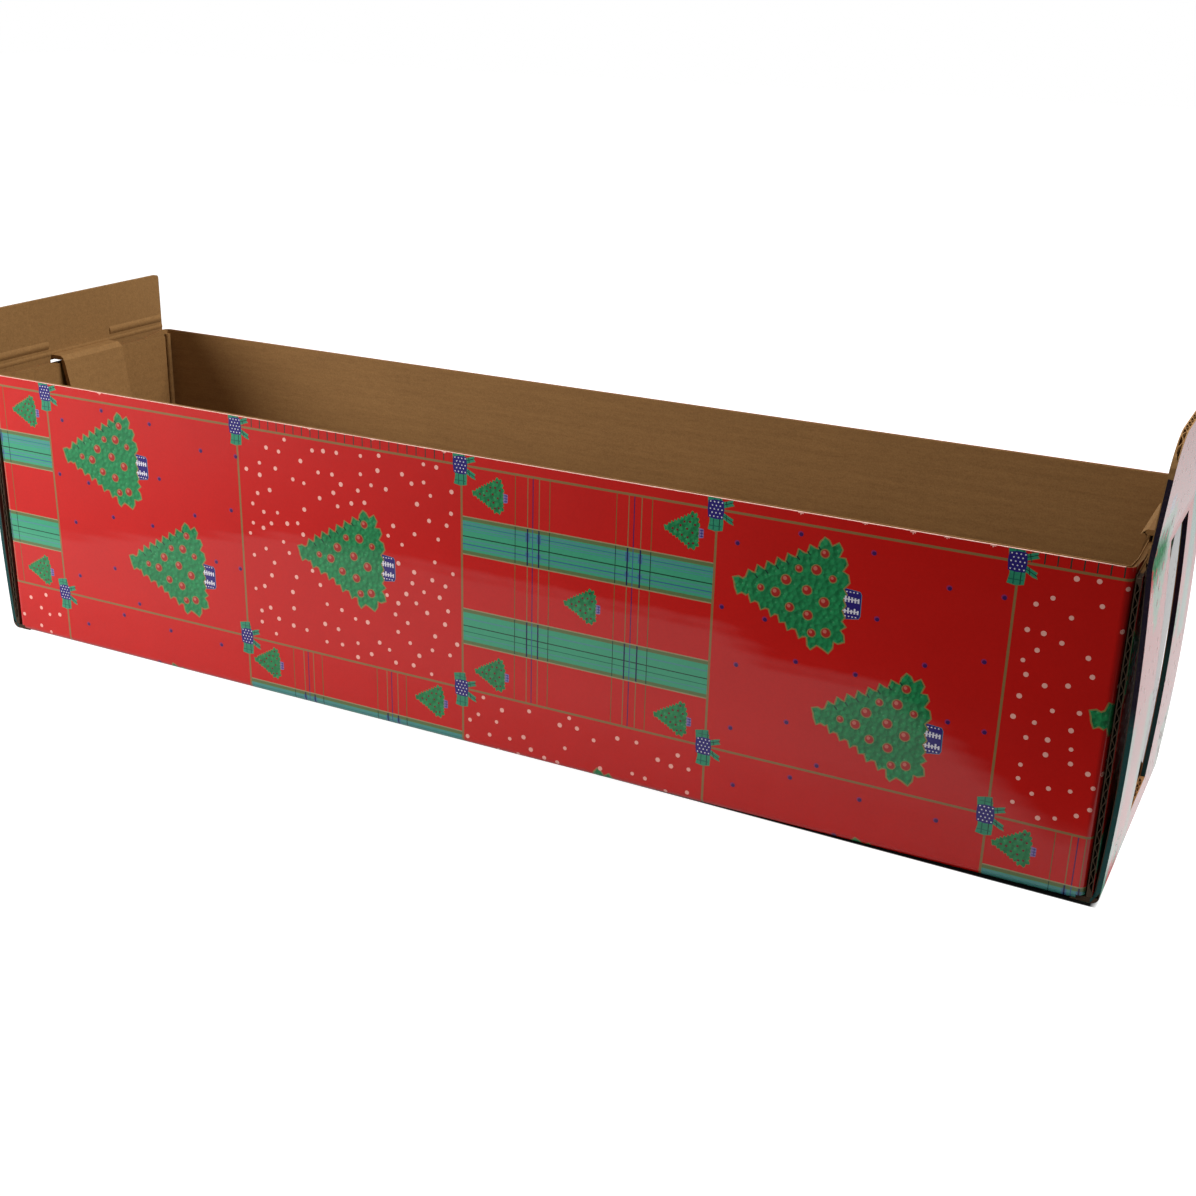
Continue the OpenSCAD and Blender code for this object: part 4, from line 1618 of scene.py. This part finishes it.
class CARTON_OT_stage(bpy.types.Operator):
    """Set the floor, lamps, surround and camera"""

    bl_idname = "carton.stage"
    bl_label = "Studio"

    def execute(self, context):
        self.floor()
        self.lamps(context.scene.carton.studio)
        self.surround(context.scene.carton.studio.surround)
        self.camera()
        context.scene.view_settings.view_transform = "Standard"
        return {"FINISHED"}

    def floor(self):
        """A wide white floor that keeps the carton's shadow and is dark far in front of it."""
        mesh = make_mesh("floor", [(x * FLOOR_SIZE, y * FLOOR_SIZE, FLOOR_Z)
                                   for x, y in ((-1, -1), (1, -1), (1, 1), (-1, 1))],
                         [(0, 1, 2, 3)])
        made, tree, shader, place = fresh_material("white_floor")
        x, y, _ = axes_of(tree, place)
        edge = maths(tree, "ADD", y, DARK_EDGE_Y)
        for x0, x1, shift in DARK_EDGE_STEPS:
            edge = maths(tree, "MULTIPLY_ADD", ranged(tree, x, x0, x1), shift, edge)
        far = ranged(tree, edge, *DARK_EDGE_SOFT)
        dark = blend_colours(tree, ranged(tree, x, *DARK_FADE_X), *DARK_TONES)
        tone = blend_colours(tree, far, FLOOR_TONE, dark)
        tone = blend_colours(tree, product(tree, noise(tree, place, 30.0, 2.0), 0.06), tone,
                             (0.5, 0.5, 0.5))
        gap = maths(tree, "ADD", y, ranged(tree, x, *CONTACT_GAP))
        shade = product(tree, ranged(tree, gap, -0.0001, 0.0003), ranged(tree, y, 0.0, -0.02),
                        ranged(tree, x, 0.1685, 0.1665), ranged(tree, x, -0.165, -0.162))
        tone = blend_colours(tree, shade, tone, SHADE_TONE)
        surface(tree, shader, tone, 0.9, 0.0)
        self.floor_glow(tree, place, shader, far, shade)
        mesh.materials.append(made)
        new_object("floor", mesh)

    def floor_glow(self, tree, place, shader, far, shade):
        """White for the camera, and a faint white for reflections beside and behind the carton."""
        paths = tree.nodes.new("ShaderNodeLightPath")
        _, y, _ = axes_of(tree, place)
        reach = tree.nodes.new("ShaderNodeVectorMath")
        reach.operation = "LENGTH"
        tree.links.new(place, reach.inputs[0])
        light = maths(tree, "MAXIMUM", ranged(tree, reach.outputs["Value"], 0.18, 0.26), far)
        light = product(tree, ranged(tree, light, 0.0, 1.0, 0.86, 1.0),
                        maths(tree, "SUBTRACT", 1.0, shade))
        glossy = product(tree, paths.outputs["Is Glossy Ray"],
                         ranged(tree, y, -0.06, -0.03, 0.0, 0.24))
        seen = maths(tree, "MAXIMUM", paths.outputs["Is Camera Ray"], glossy)
        glow = tree.nodes.new("ShaderNodeEmission")
        glow.inputs["Color"].default_value = (1, 1, 1, 1)
        tree.links.new(product(tree, seen, light), glow.inputs["Strength"])
        both = tree.nodes.new("ShaderNodeAddShader")
        tree.links.new(shader.outputs[0], both.inputs[0])
        tree.links.new(glow.outputs[0], both.inputs[1])
        tree.links.new(both.outputs[0], tree.nodes["Material Output"].inputs["Surface"])

    def lamps(self, studio):
        """A large lamp in front on the left and a soft one above."""
        for name, power, size, at, aim in (("key_lamp", studio.key_power, *KEY_LAMP),
                                           ("top_lamp", studio.fill_power, *TOP_LAMP)):
            lamp = bpy.data.lights.new(name, "AREA")
            lamp.shape = "DISK"
            lamp.size = size * MM
            lamp.energy = power
            made = new_object(name, lamp)
            at, aim = Vector(at) * MM, Vector(aim) * MM
            turn = (aim - at).to_track_quat("-Z", "Y").to_matrix().to_4x4()
            made.matrix_world = Matrix.Translation(at) @ turn

    def surround(self, strength):
        """An even light all round, which the camera and mirrored rays see as white."""
        world = bpy.data.worlds.new("surround")
        bpy.context.scene.world = world
        world.use_nodes = True
        tree = world.node_tree
        paths = tree.nodes.new("ShaderNodeLightPath")
        seen = maths(tree, "MAXIMUM", paths.outputs["Is Camera Ray"],
                     paths.outputs["Is Transmission Ray"])
        seen = maths(tree, "MAXIMUM", seen, paths.outputs["Is Glossy Ray"])
        tree.links.new(ranged(tree, seen, 0, 1, strength, 1.0),
                       tree.nodes["Background"].inputs["Strength"])
        tree.nodes["Background"].inputs["Color"].default_value = (1, 1, 1, 1)

    def camera(self):
        """The photograph's viewpoint, fitted to the carton's corners and printed lines."""
        azimuth, elevation, roll = (math.radians(a) for a in CAMERA_ANGLES)
        back = Vector((math.sin(azimuth) * math.cos(elevation),
                       -math.cos(azimuth) * math.cos(elevation), math.sin(elevation)))
        right = (-back).cross(Vector((0, 0, 1))).normalized()
        up = right.cross(-back)
        right, up = (right * math.cos(roll) + up * math.sin(roll),
                     up * math.cos(roll) - right * math.sin(roll))
        lens = bpy.data.cameras.new("camera")
        lens.lens = CAMERA_LENS
        lens.clip_start = 0.01
        made = new_object("camera", lens)
        made.matrix_world = Matrix.Translation(CAMERA_AT) @ Matrix(
            (right, up, back)).transposed().to_4x4()
        bpy.context.scene.camera = made


class CARTON_PT_sidebar(bpy.types.Panel):
    """Carton"""

    bl_label = "Carton"
    bl_idname = "CARTON_PT_sidebar"
    bl_space_type = "VIEW_3D"
    bl_region_type = "UI"
    bl_category = "Carton"

    def draw(self, context):
        settings = context.scene.carton
        for group in (settings.print, settings.colours, settings.finish, settings.studio):
            box = self.layout.box()
            for key in group.bl_rna.properties.keys():
                if key not in ("rna_type", "name"):
                    box.prop(group, key)
        for operator in OPERATORS:
            self.layout.operator(operator.bl_idname)


OPERATORS = (CARTON_OT_stage, CARTON_OT_board, CARTON_OT_print, CARTON_OT_discs,
             CARTON_OT_white_dots, CARTON_OT_creases, CARTON_OT_cut_edges)
CLASSES = (CartonPrint, CartonColours, CartonFinish, CartonStudio, CartonSettings,
           *OPERATORS, CARTON_PT_sidebar)


def register():
    """Register the classes and the scene's settings."""
    for item in CLASSES:
        bpy.utils.register_class(item)
    bpy.types.Scene.carton = bpy.props.PointerProperty(type=CartonSettings, name="Carton",
                                                       description="Carton settings")


def unregister():
    """Remove the settings and the classes."""
    del bpy.types.Scene.carton
    for item in reversed(CLASSES):
        bpy.utils.unregister_class(item)


def main():
    """Build everything."""
    register()
    for operator in OPERATORS:
        group, name = operator.bl_idname.split(".")
        getattr(getattr(bpy.ops, group), name)()


if __name__ == "__main__":
    main()
